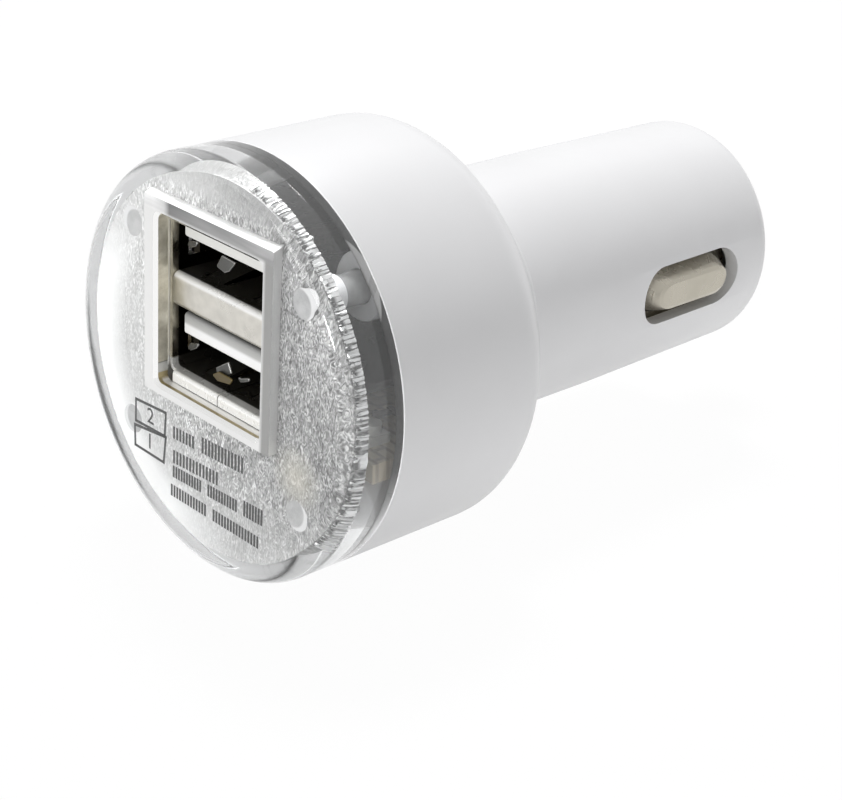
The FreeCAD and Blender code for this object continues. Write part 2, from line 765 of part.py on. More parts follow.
def make_capacitors():
    b = body("output_capacitor")
    r, base = S.out_cap_radius, S.out_cap_base
    groove = S.in_cap_groove
    sk = sketch(b, "out_can_section", "XZ_Plane", -S.coil_y, (-S.out_cap_x, board_top))
    outline(sk, [
        (0, 0), (r, 0), (r, base), (r - groove, base + groove), (r - groove, base + groove * 2),
        (r, base + groove * 3), (r, S.out_cap_height - groove, groove),
        (r - groove, S.out_cap_height), (0, S.out_cap_height),
    ])
    turn(b, "out_can", sk)
    keep("output_capacitor", b)

    b = body("input_capacitor")
    r, start = S.in_cap_radius, S.in_cap_start
    end = start + S.in_cap_length
    sk = sketch(b, "in_can_section", "XY_Plane", board_top + r)
    outline(sk, [
        (0, start), (r - groove, start), (r, start + groove), (r, start + groove * 3),
        (r - groove, start + groove * 4), (r - groove, start + groove * 5), (r, start + groove * 6),
        (r, end - groove, groove), (r - groove, end), (0, end),
    ])
    turn(b, "in_can", sk)
    wire, reach = S.in_cap_lead, S.in_cap_lead_reach
    for side, hand in ((1, "right"), (-1, "left")):
        x = side * S.in_cap_lead_spread - wire
        sk = sketch(b, f"in_lead_section_{hand}", "YZ_Plane", x)
        outline(sk, [
            (start + wire, board_top + r - wire),
            (start + wire, board_top + r + wire),
            (start - reach, board_top + r + wire),
            (start - reach, board_top),
            (start - reach + wire * 2, board_top),
            (start - reach + wire * 2, board_top + r - wire),
        ])
        extrude("Pad", b, f"in_lead_{hand}", sk, wire * 2)
    keep("input_capacitor", b)


# Flat parts soldered to the board

def capped_block(name, x, y, length, width, height, cap, low, lengthways="Y"):
    """A block with a slightly larger cap at each end, centred on (x, y), with its lowest face at low."""
    rim = S.tab_sheet / 2
    half_l, half_w = length / 2, width / 2
    if lengthways == "Y":
        middle = block(f"{name}_middle", x - half_w + rim, x + half_w - rim,
                       y - half_l + rim, y + half_l - rim, low + rim, low + height - rim)
        ends = [block(f"{name}_end_{n}", x - half_w, x + half_w, y0, y0 + cap, low, low + height)
                for n, y0 in enumerate((y - half_l, y + half_l - cap), start=1)]
    else:
        middle = block(f"{name}_middle", x - half_l + rim, x + half_l - rim,
                       y - half_w + rim, y + half_w - rim, low + rim, low + height - rim)
        ends = [block(f"{name}_end_{n}", x0, x0 + cap, y - half_w, y + half_w, low, low + height)
                for n, x0 in enumerate((x - half_l, x + half_l - cap), start=1)]
    return group(name, [middle, *ends], join=True)


def make_small_parts():
    fuse_low = board_bottom - S.fuse_height
    fuse = capped_block("input_fuse", S.fuse_side_gap - tail_half, S.fuse_y, S.fuse_length, S.fuse_width,
                        S.fuse_height, S.fuse_end, fuse_low)
    keep("input_fuse", fuse)

    case_low = board_bottom - S.diode_height
    half_l, half_w = S.diode_length / 2, S.diode_width / 2
    x = tail_half - S.diode_side_gap
    case = block("diode_case", x - half_w, x + half_w, S.diode_y - half_l, S.diode_y + half_l,
                 case_low, board_bottom - S.tab_sheet)
    tabs = [
        block(f"diode_tab_{n}", x - half_w / 2, x + half_w / 2, y0, y0 + S.tab_reach * 2,
              board_bottom - S.diode_height / 2, board_bottom)
        for n, y0 in enumerate((S.diode_y - half_l - S.tab_reach, S.diode_y + half_l - S.tab_reach), start=1)
    ]
    keep("rectifier_diode", group("rectifier_diode", [case, *tabs], join=True))

    middle = (board_front_y + board_back_y) / 2
    spread = S.resistor_length * 2
    chips = []
    for side, hand in ((1, "right"), (-1, "left")):
        for n in (0, 1):
            chips.append(capped_block(f"resistor_{hand}_{n}", side * (shell_half + S.resistor_gap),
                                      middle + spread * (n - 0.5), S.resistor_length, S.resistor_width,
                                      S.resistor_height, S.resistor_end, board_top))
    keep("chip_resistors", group("chip_resistors", chips))

    chips = [
        capped_block(f"ceramic_{n}", side * (board_half - S.ceramic_from_side), middle + spread * 0.5 * along,
                     S.ceramic_length, S.ceramic_width, S.ceramic_height, S.ceramic_end, board_top, "X")
        for n, (side, along) in enumerate(((1, 1), (-1, 1), (-1, -1)))
    ]
    keep("chip_capacitors", group("chip_capacitors", chips))

    half = S.led_size / 2
    x = board_half - S.led_from_side
    y = board_front_y + S.led_from_front
    base = block("led_base", x - half, x + half, y - half, y + half, board_top,
                 board_top + S.led_height)
    dome = doc.addObject("Part::Cylinder", "led_dome")
    for key, v in (("Radius", S.led_dome_radius), ("Height", S.led_dome)):
        setattr(dome, key, v.value)
        dome.setExpression(key, v.text)
    place(dome, x, y, board_top + S.led_height)
    keep("indicator_led", group("indicator_led", [base, dome], join=True))


# Sprung centre tip, its coil spring and the terminal that carries the spring

tip_back_y = nose_inner_y - S.tip_seat_gap - S.tip_flange
spring_start_y = S.strip_end + S.terminal_sheet
spring_end_y = tip_back_y + S.tip_bore_depth


def make_tip():
    b = body("center_tip")
    end = S.barrel_length + S.tip_stand_out
    bore = S.spring_radius + S.spring_wire / 2 + S.spring_room
    sk = sketch(b, "tip_section", "XY_Plane")
    outline(sk, [
        (0, spring_end_y),
        (bore, spring_end_y),
        (bore, tip_back_y),
        (S.tip_flange_radius, tip_back_y),
        (S.tip_flange_radius, tip_back_y + S.tip_flange),
        (S.tip_radius, tip_back_y + S.tip_flange),
        (S.tip_radius, end - S.tip_round, S.tip_round),
        (S.tip_radius - S.tip_round, end),
        (0, end),
    ])
    turn(b, "tip", sk)
    return keep("center_tip", b)


def make_tip_spring():
    """A round wire wound along the axis between the terminal and the bottom of the tip's bore."""
    new = doc.addObject("Part::Feature", "tip_spring")
    wire = S.spring_wire.value / 2
    seat = wire + S.spring_end_gap.value
    low, high = spring_start_y.value + seat, spring_end_y.value - seat
    radius = S.spring_radius.value
    pitch = (high - low) / S.spring_turns.value
    spine = Part.makeHelix(pitch, high - low, radius)
    section = Part.Wire(Part.makeCircle(wire, FreeCAD.Vector(radius, 0, 0), FreeCAD.Vector(0, 1, 0)))
    coil = Part.Wire(spine.Edges).makePipeShell([section], True, True)
    coil.rotate(FreeCAD.Vector(0, 0, 0), FreeCAD.Vector(1, 0, 0), -90)
    new.Shape = coil
    new.Placement = FreeCAD.Placement(FreeCAD.Vector(0, low, 0), new.Placement.Rotation)
    return keep("tip_spring", new)


def make_terminal():
    b = body("spring_terminal")
    t = S.terminal_sheet
    face = S.strip_end + t
    sk = across(b, "terminal_disc", face)
    circle(sk, 0, 0, S.terminal_radius)
    extrude("Pad", b, "disc", sk, t)
    sk = across(b, "terminal_leg_outline", face)
    half = S.terminal_width / 2
    box_outline(sk, -half, half, board_top, 0)
    extrude("Pad", b, "leg", sk, t)
    sk = across(b, "terminal_foot_outline", face)
    box_outline(sk, -half, half, board_top, board_top + t)
    extrude("Pad", b, "foot", sk, S.terminal_foot)
    sk = across(b, "spigot_circle", face)
    circle(sk, 0, 0, S.terminal_spigot)
    extrude("Pad", b, "spigot", sk, S.terminal_spigot_length, backwards=True)
    return keep("spring_terminal", b)


# Side contacts: pressed cups that stand through the barrel's slots, each on a leaf spring

def make_side_contact(side, hand):
    b = body(f"side_contact_{hand}")
    flange_out = side_flange_x + S.side_flange
    crown = S.barrel_radius + S.side_crown
    margin = S.side_flange_margin * 2
    sk = sketch(b, f"flange_outline_{hand}", "YZ_Plane", side * side_flange_x)
    slot_outline(sk, slot_y, 0, S.side_foot_length + margin, S.side_foot_width + margin)
    extrude("Pad", b, f"flange_{hand}", sk, S.side_flange, backwards=side < 0)
    foot = sketch(b, f"foot_outline_{hand}", "YZ_Plane", side * flange_out)
    slot_outline(foot, slot_y, 0, S.side_foot_length, S.side_foot_width)
    top = sketch(b, f"top_outline_{hand}", "YZ_Plane", side * crown)
    slot_outline(top, slot_y, 0, S.side_top_length, S.side_top_width)
    loft = b.newObject("PartDesign::AdditiveLoft", f"cup_{hand}")
    loft.Profile = foot
    loft.Sections = [top]
    loft.Ruled = True
    doc.recompute()
    crown_edges = edges_where(loft, lambda p: near(abs(p.x), crown.value))
    soften("Fillet", b, f"crown_round_{hand}", loft, crown_edges, S.side_round)
    sk = sketch(b, f"hollow_outline_{hand}", "YZ_Plane", side * side_flange_x)
    wall = S.side_wall * 2
    slot_outline(sk, slot_y, 0, S.side_top_length - wall, S.side_top_width - wall)
    extrude("Pocket", b, f"hollow_{hand}", sk, crown - side_flange_x - S.side_wall, backwards=side > 0)
    return keep(f"side_contact_{hand}", b)


def make_leaf(side, hand):
    b = body(f"side_leaf_{hand}")
    t = S.leaf_sheet
    foot, rest = side_flange_x - S.leaf_foot_inset, side_flange_x - S.leaf_gap
    start, bend = S.leaf_foot_start, S.leaf_foot_start + S.leaf_foot_length
    land = S.leaf_reach - S.leaf_land
    sk = sketch(b, f"leaf_section_{hand}", "XY_Plane", board_top)
    outline(sk, [
        (side * foot, start),
        (side * (foot + t), start),
        (side * (foot + t), bend),
        (side * rest, land),
        (side * rest, S.leaf_reach),
        (side * (rest - S.leaf_bend), S.leaf_reach + S.leaf_bend),
        (side * (rest - S.leaf_bend - t), S.leaf_reach + S.leaf_bend),
        (side * (rest - t), S.leaf_reach),
        (side * (rest - t), land),
        (side * foot, bend),
    ])
    extrude("Pad", b, f"leaf_{hand}", sk, S.leaf_width)
    return keep(f"side_leaf_{hand}", b)


make_housing()
make_cap()
make_plate()
make_shell()
make_divider()
make_insulator()
make_contacts()
make_board()
make_chip()
make_inductor()
make_capacitors()
make_small_parts()
make_tip()
make_tip_spring()
make_terminal()
for side, hand in ((1, "right"), (-1, "left")):
    make_side_contact(side, hand)
    make_leaf(side, hand)


# Write the pieces

def check():
    doc.recompute()
    bad = [o.Name for o in doc.Objects if "Invalid" in o.State or "Error" in o.State]
    for name, obj in nodes.items():
        if obj.Shape.isNull() or not obj.Shape.isValid():
            bad.append(name)
    if bad:
        raise RuntimeError(f"these objects did not build: {bad}")


check()
os.makedirs("parts", exist_ok=True)
for name, obj in nodes.items():
    obj.Shape.exportStep(os.path.join("parts", name + ".step"))
    box = obj.Shape.BoundBox
    print(f"{name:24s} solids {len(obj.Shape.Solids)} volume {obj.Shape.Volume:9.3f}"
          f" y {box.YMin:7.2f} {box.YMax:7.2f} x {box.XMin:7.2f} {box.XMax:7.2f}"
          f" z {box.ZMin:7.2f} {box.ZMax:7.2f}")
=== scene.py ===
import json
import math
import random

import bpy
import bmesh
from bpy.props import FloatProperty, FloatVectorProperty, IntProperty, PointerProperty
from bpy.types import NodeSocket, Operator, Panel, PropertyGroup
from mathutils import Matrix, Vector

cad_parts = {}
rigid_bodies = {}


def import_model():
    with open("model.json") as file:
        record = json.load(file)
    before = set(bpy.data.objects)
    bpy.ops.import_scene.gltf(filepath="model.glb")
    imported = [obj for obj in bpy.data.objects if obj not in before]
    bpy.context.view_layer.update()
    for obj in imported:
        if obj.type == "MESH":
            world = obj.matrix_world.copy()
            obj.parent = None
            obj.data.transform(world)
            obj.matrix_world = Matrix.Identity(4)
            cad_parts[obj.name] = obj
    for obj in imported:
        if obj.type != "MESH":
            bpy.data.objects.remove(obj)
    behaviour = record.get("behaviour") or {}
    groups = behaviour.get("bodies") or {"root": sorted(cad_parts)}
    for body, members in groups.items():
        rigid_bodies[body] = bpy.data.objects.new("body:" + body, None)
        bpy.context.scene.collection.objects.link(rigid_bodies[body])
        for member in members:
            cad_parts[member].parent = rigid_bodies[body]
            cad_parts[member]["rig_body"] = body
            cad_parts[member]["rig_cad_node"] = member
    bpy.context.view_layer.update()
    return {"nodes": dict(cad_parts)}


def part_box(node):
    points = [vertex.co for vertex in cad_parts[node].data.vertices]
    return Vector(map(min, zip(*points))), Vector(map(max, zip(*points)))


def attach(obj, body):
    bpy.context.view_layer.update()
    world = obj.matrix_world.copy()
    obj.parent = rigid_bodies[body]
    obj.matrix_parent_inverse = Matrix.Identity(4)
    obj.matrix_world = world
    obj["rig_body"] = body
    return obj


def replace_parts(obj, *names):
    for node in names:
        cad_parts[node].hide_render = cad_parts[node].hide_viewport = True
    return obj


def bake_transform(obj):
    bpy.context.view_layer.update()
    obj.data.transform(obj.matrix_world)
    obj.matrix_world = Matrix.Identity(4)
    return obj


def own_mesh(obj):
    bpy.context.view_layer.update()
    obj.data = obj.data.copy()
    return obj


bl_info = {
    "name": "Car charger",
    "version": (1, 0, 0),
    "blender": (4, 5, 0),
    "location": "View3D > Sidebar > Charger",
    "description": "Dresses a vehicle charger with two stacked ports in plastics and nickel",
    "category": "Object",
}

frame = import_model()
MM = 0.001

# Places that the solids give, along the axis (Y) and across it

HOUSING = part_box("housing")
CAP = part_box("clear_cap")
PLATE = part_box("textured_plate")
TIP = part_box("center_tip")
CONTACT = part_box("side_contact_right")
SEAM_Y = HOUSING[0].y
NOSE_Y = HOUSING[1].y
CREST_Y = CAP[0].y
COVER_Y = PLATE[0].y
PLATE_BACK_Y = PLATE[1].y
HEAD_RADIUS = HOUSING[1].z
PIN_PLACES = [(side * 10.2 * MM, height * MM) for side in (-1, 1) for height in (8.9, -7.9)]

# The frame's outer sides and its mouth, across the axis: left, right, low, high

FRAME_SIDES = (-7.7 * MM, 7.7 * MM, -3.9 * MM, 12.15 * MM)
MOUTH_SIDES = (-6.3 * MM, 6.3 * MM, -3.1 * MM, 10.8 * MM)

# How far pieces that lie together keep apart or reach into each other, and how deep a cutting tool is

SKIN = 0.01 * MM
LAP = 0.02 * MM
TOUCH = 0.03 * MM
TOOL = 6 * MM


def length(name, description, millimetres):
    return FloatProperty(name=name, description=description, default=millimetres * MM, unit="LENGTH")


def paint(name, description, *default):
    return FloatVectorProperty(name=name, description=description, subtype="COLOR", size=4, default=default)


class ChargerSizes(PropertyGroup):
    """Sizes of the charger's own pieces."""

    wall: length("Head wall", "Wall of the head and the rim", 1.7)
    shoulder: length("Shoulder", "Where the head ends", -4.2)
    back_round: length("Back round", "Round at the head's back", 3.3)
    collar: length("Collar radius", "Radius of the collar", 11.0)
    barrel: length("Barrel radius", "Radius of the barrel", 10.4)
    land: length("Straight barrel", "Length before the taper", 12.0)
    nose: length("Nose radius", "Radius of the barrel's end", 10.1)
    nose_round: length("Nose round", "Round at the barrel's end", 1.6)
    slot_length: length("Slot length", "Length of a side slot", 12.6)
    slot_width: length("Slot width", "Width of a side slot", 5.2)
    rim_round: length("Rim round", "Round of the clear rim", 1.45)
    mouth_bevel: length("Mouth bevel", "Bevel round the ports", 0.28)
    frame_stand: length("Frame stand", "How far the frame stands behind the plate", 1.0)
    frame_draft: length("Frame draft", "How much the frame's top wall leans back", 0.28)
    pin: length("Pin radius", "Radius of a clear pin", 1.2)
    turn_steps: IntProperty(name="Turn steps", description="Steps round a turned piece", default=192, min=48)


class ChargerColours(PropertyGroup):
    """Colours of the charger's finishes."""

    shell: paint("Housing", "White housing", 0.80, 0.80, 0.81, 1.0)
    clear: paint("Cap", "Clear cap", 0.97, 0.98, 0.985, 1.0)
    # The plate's colour where it carries painted light; darker shares of it make the painted shade toward the
    # right.
    plate: paint("Plate", "Pale side of the sparkling plate", 0.58, 0.58, 0.575, 1.0)
    nickel: paint("Nickel", "Satin nickel", 0.62, 0.58, 0.52, 1.0)
    tongue: paint("Tongue", "Front of the lower tongue", 0.80, 0.80, 0.79, 1.0)
    print_ink: paint("Print", "Dark print", 0.03, 0.03, 0.03, 1.0)


def sizes():
    return bpy.context.scene.charger_sizes


def colours():
    return bpy.context.scene.charger_colours


def head_inner():
    """The radius inside the head's wall."""
    return HEAD_RADIUS - sizes().wall


# Modelling by hand: outlines grown from one point, then spun or pulled into solids

def rounded(corners, steps=10):
    """The points of an outline whose corners are (u, v) or (u, v, radius)."""
    points = []
    for n, corner in enumerate(corners):
        here = Vector(corner[:2])
        if len(corner) == 2:
            points.append(here)
            continue
        radius = corner[2]
        back = (Vector(corners[n - 1][:2]) - here).normalized()
        ahead = (Vector(corners[(n + 1) % len(corners)][:2]) - here).normalized()
        half = back.angle(ahead) / 2
        centre = here + (back + ahead).normalized() * (radius / math.sin(half))
        first = here + back * (radius / math.tan(half)) - centre
        last = here + ahead * (radius / math.tan(half)) - centre
        sweep = first.angle_signed(last)
        for k in range(steps + 1):
            a = -sweep * k / steps
            points.append(centre + Vector((first.x * math.cos(a) - first.y * math.sin(a),
                                           first.x * math.sin(a) + first.y * math.cos(a))))
    return points


def pill(length, width, steps=16):
    """The points of a slot outline, long along the first axis, round its middle."""
    r = width / 2
    flat = length / 2 - r
    points = []
    for end, start in ((1, -math.pi / 2), (-1, math.pi / 2)):
        for k in range(steps + 1):
            a = start + math.pi * k / steps
            points.append(Vector((end * flat + r * math.cos(a), r * math.sin(a))))
    return points


def rectangle(u0, u1, v0, v1, r=0, steps=6):
    corners = [(u0, v0), (u1, v0), (u1, v1), (u0, v1)]
    return rounded([(*c, r) for c in corners], steps) if r else [Vector(c) for c in corners]


def grown(sides, by):
    return sides[0] - by, sides[1] + by, sides[2] - by, sides[3] + by


def only(piece):
    bpy.ops.object.select_all(action="DESELECT")
    bpy.context.view_layer.objects.active = piece
    piece.select_set(True)


def edit(piece):
    only(piece)
    bpy.ops.object.mode_set(mode="EDIT")


def extrude(by):
    bpy.ops.mesh.extrude_region_move(TRANSFORM_OT_translate={"value": by})


def draw(name, points):
    """A closed line through points in space, grown from one point and left in edit mode, all selected."""
    bpy.ops.object.select_all(action="DESELECT")
    bpy.ops.mesh.primitive_plane_add(size=MM, location=(0, 0, 0))
    piece = bpy.context.object
    piece.name = name
    bpy.ops.object.mode_set(mode="EDIT")
    bpy.ops.mesh.select_mode(type="VERT")
    bpy.ops.mesh.select_all(action="SELECT")
    bpy.ops.mesh.merge(type="CENTER")
    bpy.ops.transform.translate(value=points[0])
    for a, b in zip(points, [*points[1:], points[0]]):
        extrude(b - a)
    bpy.ops.mesh.select_all(action="SELECT")
    bpy.ops.mesh.remove_doubles(threshold=1e-7)
    bpy.ops.mesh.select_all(action="SELECT")
    return piece


def close_up(piece, angle=35):
    """Leaves edit mode with doubles merged, faces outwards and smooth shading up to an angle."""
    bpy.ops.mesh.select_all(action="SELECT")
    bpy.ops.mesh.remove_doubles(threshold=2e-7)
    bpy.ops.mesh.normals_make_consistent(inside=False)
    bpy.ops.object.mode_set(mode="OBJECT")
    smooth(piece, angle)
    return piece


def smooth(piece, angle=35):
    only(piece)
    bpy.ops.object.shade_smooth_by_angle(angle=math.radians(angle))


def turned(name, profile, centre=(0, 0, 0), steps=None):
    """A solid of revolution round a line along Y: the profile's points are (radius, y)."""
    at = Vector(centre)
    piece = draw(name, [at + Vector((u, v, 0)) for u, v in profile])
    bpy.ops.mesh.spin(steps=steps or sizes().turn_steps, angle=math.tau, center=at, axis=(0, 1, 0))
    return close_up(piece)


def at_each_pin(name, profile):
    """The same turned piece at each of the four pins, joined."""
    return join(name, [turned(f"{name}_{n}", profile, (x, 0, z), 40) for n, (x, z) in enumerate(PIN_PLACES)])


def pulled(name, outline, plane, depth, start):
    """An outline made solid: plane "XZ" is pulled along Y, "YZ" along X, from start by depth."""
    place = {"XZ": lambda p: Vector((p.x, start, p.y)), "YZ": lambda p: Vector((start, p.x, p.y))}[plane]
    piece = draw(name, [place(p) for p in outline])
    bpy.ops.mesh.edge_face_add()
    extrude({"XZ": (0, depth, 0), "YZ": (depth, 0, 0)}[plane])
    return close_up(piece)


def carve(piece, tool):
    """Cuts the tool from the piece and deletes the tool."""
    only(piece)
    step = piece.modifiers.new("carve", "BOOLEAN")
    step.operation = "DIFFERENCE"
    step.solver = "EXACT"
    step.object = tool
    bpy.ops.object.modifier_apply(modifier=step.name)
    bpy.data.objects.remove(tool)


def pick(piece, kind, test):
    """Selects, in edit mode, just those vertices, edges or faces that pass a test."""
    bpy.ops.mesh.select_mode(type=kind)
    bpy.ops.mesh.select_all(action="DESELECT")
    mesh = bmesh.from_edit_mesh(piece.data)
    for part in {"VERT": mesh.verts, "EDGE": mesh.edges, "FACE": mesh.faces}[kind]:
        part.select = test(part)
    bmesh.update_edit_mesh(piece.data)


def bevel(piece, test, size, segments=1, clamp=True):
    """Bevels the edges that pass a test."""
    edit(piece)
    pick(piece, "EDGE", test)
    bpy.ops.mesh.bevel(offset=size, segments=segments, affect="EDGES", clamp_overlap=clamp)
    bpy.ops.object.mode_set(mode="OBJECT")


def flat_at(part, axis, place):
    """Whether all of an edge or face lies at one place along an axis."""
    return all(abs(v.co[axis] - place) < 1e-6 for v in part.verts)


def join(name, pieces):
    only(pieces[0])
    for other in pieces[1:]:
        other.select_set(True)
    bpy.ops.object.join()
    pieces[0].name = name
    return pieces[0]


def dress(piece, material, body, slot, *nodes):
    """Gives a new piece its material, its body and the CAD nodes that it stands for; the slot is not used."""
    piece.data.materials.clear()
    piece.data.materials.append(material)
    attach(piece, body)
    if nodes:
        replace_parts(piece, *nodes)


def line_with(piece, material, test):
    """Gives the faces that pass a test a second material."""
    piece.data.materials.append(material)
    for face in piece.data.polygons:
        if test(face):
            face.material_index = 1


# Materials

def solid(*rgb):
    """A colour with its alpha; one number is a grey."""
    return (*(rgb * 3)[:3], 1.0)


def darker(colour, share):
    return solid(*(c * share for c in colour[:3]))


class Nodes:
    """Nodes that are put into one tree."""

    def __init__(self, tree):
        self.tree = tree

    def give(self, socket, value):
        """Links a socket to another one, or sets its own value."""
        if isinstance(value, NodeSocket):
            self.tree.links.new(value, socket)
        else:
            socket.default_value = value

    def node(self, kind, **values):
        """A new node; each value is a setting of the node, or goes to the input of that name."""
        new = self.tree.nodes.new(kind)
        for key, value in values.items():
            if hasattr(new, key):
                setattr(new, key, value)
            else:
                self.give(new.inputs[key.replace("_", " ")], value)
        return new

    def place(self):
        """Object coordinates."""
        return self.node("ShaderNodeTexCoord").outputs["Object"]

    def stretched(self, *scale):
        """Object coordinates, drawn out along an axis whose scale is small."""
        return self.node("ShaderNodeMapping", Vector=self.place(), Scale=scale).outputs["Vector"]

    def part(self, vector, axis):
        return self.node("ShaderNodeSeparateXYZ", Vector=vector).outputs[axis]

    def axis(self, name):
        return self.part(self.place(), name)

    def normal_axis(self, name):
        """One part of the surface's own normal, which on an unturned piece is the row's."""
        return self.part(self.node("ShaderNodeNewGeometry").outputs["Normal"], name)

    def noise(self, size, detail=2.0, roughness=0.5, place=None, **more):
        new = self.node("ShaderNodeTexNoise", Vector=place or self.place(), Scale=1 / size, Detail=detail,
                        Roughness=roughness, **more)
        return new.outputs["Fac"]

    def spread(self, value, low, high, to_low=0.0, to_high=1.0):
        """A value from low to high, made to run from to_low to to_high."""
        new = self.node("ShaderNodeMapRange", Value=value, From_Min=low, From_Max=high, To_Min=to_low,
                        To_Max=to_high)
        return new.outputs["Result"]

    def ramp(self, value, stops, low=0.0, high=1.0):
        """A colour ramp over a value from low to high; a stop is (position, colour)."""
        if (low, high) != (0.0, 1.0):
            value = self.spread(value, low, high)
        new = self.node("ShaderNodeValToRGB", Fac=value)
        made = new.color_ramp.elements
        while len(made) < len(stops):
            made.new(0.5)
        for element, (at, colour) in zip(made, stops):
            element.position = at
            element.color = colour
        return new.outputs["Color"]

    def mix(self, share, a, b, blend="MIX"):
        """A mix of two colours."""
        new = self.node("ShaderNodeMix", data_type="RGBA", blend_type=blend)
        for key, value in ((0, share), (6, a), (7, b)):
            self.give(new.inputs[key], value)
        return new.outputs[2]

    def mix_shaders(self, share, a, b):
        new = self.node("ShaderNodeMixShader")
        for key, value in enumerate((share, a, b)):
            self.give(new.inputs[key], value)
        return new.outputs[0]

    def maths(self, operation, a, b=0.0):
        new = self.node("ShaderNodeMath", operation=operation)
        for key, value in enumerate((a, b)):
            self.give(new.inputs[key], value)
        return new.outputs[0]

    def product(self, first, *others):
        for other in others:
            first = self.maths("MULTIPLY", first, other)
        return first

    def either(self, a, b):
        return self.maths("MAXIMUM", a, b)

    def distance(self, across, up, x, z):
        """How far (across, up) lies from (x, z)."""
        u, v = self.maths("SUBTRACT", across, x), self.maths("SUBTRACT", up, z)
        return self.maths("SQRT", self.maths("ADD", self.product(u, u), self.product(v, v)))

    def seen(self):
        """1 where the camera, a reflection or clear plastic looks on, else 0."""
        rays = self.node("ShaderNodeLightPath").outputs
        return self.either(self.either(rays["Is Camera Ray"], rays["Is Glossy Ray"]),
                           rays["Is Transmission Ray"])


def shared(name):
    """Has the function below build the effect of this name once in a file, then hands out that one."""
    return lambda build: lambda: bpy.data.node_groups.get(name) or build(name)


class Effect(Nodes):
    """A node group under construction, with named inputs and outputs."""

    def __init__(self, name, inputs, outputs):
        super().__init__(bpy.data.node_groups.new(name, "ShaderNodeTree"))
        for in_out, sockets in (("INPUT", inputs), ("OUTPUT", outputs)):
            for key, kind in sockets.items():
                self.tree.interface.new_socket(name=key, in_out=in_out, socket_type=f"NodeSocket{kind}")
        self.given = self.node("NodeGroupInput").outputs
        self.result = self.node("NodeGroupOutput").inputs


@shared("Moulded grain")
def moulded_grain(name):
    """The faint unevenness of a moulded face."""
    e = Effect(name, {"Vector": "Vector", "Scale": "Float", "Depth": "Float"}, {"Normal": "Vector"})
    grain = e.node("ShaderNodeTexNoise", Vector=e.given["Vector"], Scale=e.given["Scale"], Detail=3.0,
                   Roughness=0.5)
    uneven = e.node("ShaderNodeBump", Height=grain.outputs["Fac"], Distance=e.given["Depth"],
                    Strength=1.0)
    e.give(e.result["Normal"], uneven.outputs["Normal"])
    return e.tree


@shared("Mottle")
def mottle(name):
    """Cloudy patches that go from one colour to another between two levels of a noise."""
    cloudy = {"Vector": "Vector", "Scale": "Float", "Detail": "Float", "Roughness": "Float"}
    levels = {"Low": "Float", "High": "Float", "Dark": "Color", "Pale": "Color"}
    e = Effect(name, cloudy | levels, {"Color": "Color"})
    cloud = e.node("ShaderNodeTexNoise", **{key: e.given[key] for key in cloudy})
    share = e.spread(cloud.outputs["Fac"], e.given["Low"], e.given["High"])
    e.give(e.result["Color"], e.mix(share, e.given["Dark"], e.given["Pale"]))
    return e.tree


@shared("Brushed lines")
def brushed_lines(name):
    """Fine brushed lines, and patches between smooth and dull."""
    e = Effect(name, {"Vector": "Vector", "Stretch": "Vector", "Smooth": "Float", "Dull": "Float"},
               {"Normal": "Vector", "Roughness": "Float"})
    along = e.node("ShaderNodeMapping", Vector=e.given["Vector"], Scale=e.given["Stretch"])
    lines = e.noise(0.12 * MM, 3.0, 0.6, along.outputs["Vector"])
    scratched = e.node("ShaderNodeBump", Height=lines, Distance=0.01 * MM, Strength=0.5)
    patches = e.noise(1.6 * MM, 3.0, 0.5, e.given["Vector"])
    e.give(e.result["Normal"], scratched.outputs["Normal"])
    e.give(e.result["Roughness"], e.spread(patches, 0.3, 0.7, e.given["Smooth"], e.given["Dull"]))
    return e.tree


@shared("Pin distance")
def pin_distance(name):
    """How far a point is across the axis from the nearest pin's middle, which may be moved out and up."""
    e = Effect(name, {"Vector": "Vector", "Out": "Float", "Up": "Float"}, {"Distance": "Float"})
    (x, high), (x, low) = PIN_PLACES[-2:]
    across = e.maths("ABSOLUTE", e.part(e.given["Vector"], "X"))
    up = e.maths("ABSOLUTE", e.maths("SUBTRACT", e.part(e.given["Vector"], "Z"), (high + low) / 2))
    out, rise = e.maths("ADD", e.given["Out"], x), e.maths("ADD", e.given["Up"], (high - low) / 2)
    e.give(e.result["Distance"], e.distance(across, up, out, rise))
    return e.tree


class Finish(Nodes):
    """A material under construction: a Principled BSDF and what feeds it."""

    def __init__(self, name, roughness, metallic=0.0, **sockets):
        self.material = bpy.data.materials.new(name)
        self.material.use_nodes = True
        super().__init__(self.material.node_tree)
        self.shader = self.tree.nodes["Principled BSDF"]
        self.feed(Roughness=roughness, Metallic=metallic, **sockets)

    def feed(self, **sockets):
        """Links the shader's sockets, or sets their own values."""
        for key, value in sockets.items():
            self.give(self.shader.inputs[key.replace("_", " ")], value)
        return self

    def show(self, shader):
        self.give(self.tree.nodes["Material Output"].inputs["Surface"], shader)
        return self

    def effect(self, tree, **inputs):
        """A shared effect, placed in this material with its own values."""
        return self.node("ShaderNodeGroup", node_tree=tree, **{"Vector": self.place(), **inputs}).outputs

    def grain(self, size, depth):
        return self.feed(Normal=self.effect(moulded_grain(), Scale=1 / size, Depth=depth)["Normal"])

    def mottled(self, size, dark, pale, detail=3.0, roughness=0.5, low=0.3, **place):
        return self.effect(mottle(), Scale=1 / size, Detail=detail, Roughness=roughness, Low=low,
                           High=1 - low, Dark=dark, Pale=pale, **place)["Color"]

    def facing(self, blend):
        """0 where the surface faces the eye, 1 where it turns away."""
        return self.node("ShaderNodeLayerWeight", Blend=blend).outputs["Facing"]

    def from_point(self, x, z):
        return self.distance(self.axis("X"), self.axis("Z"), x * MM, z * MM)


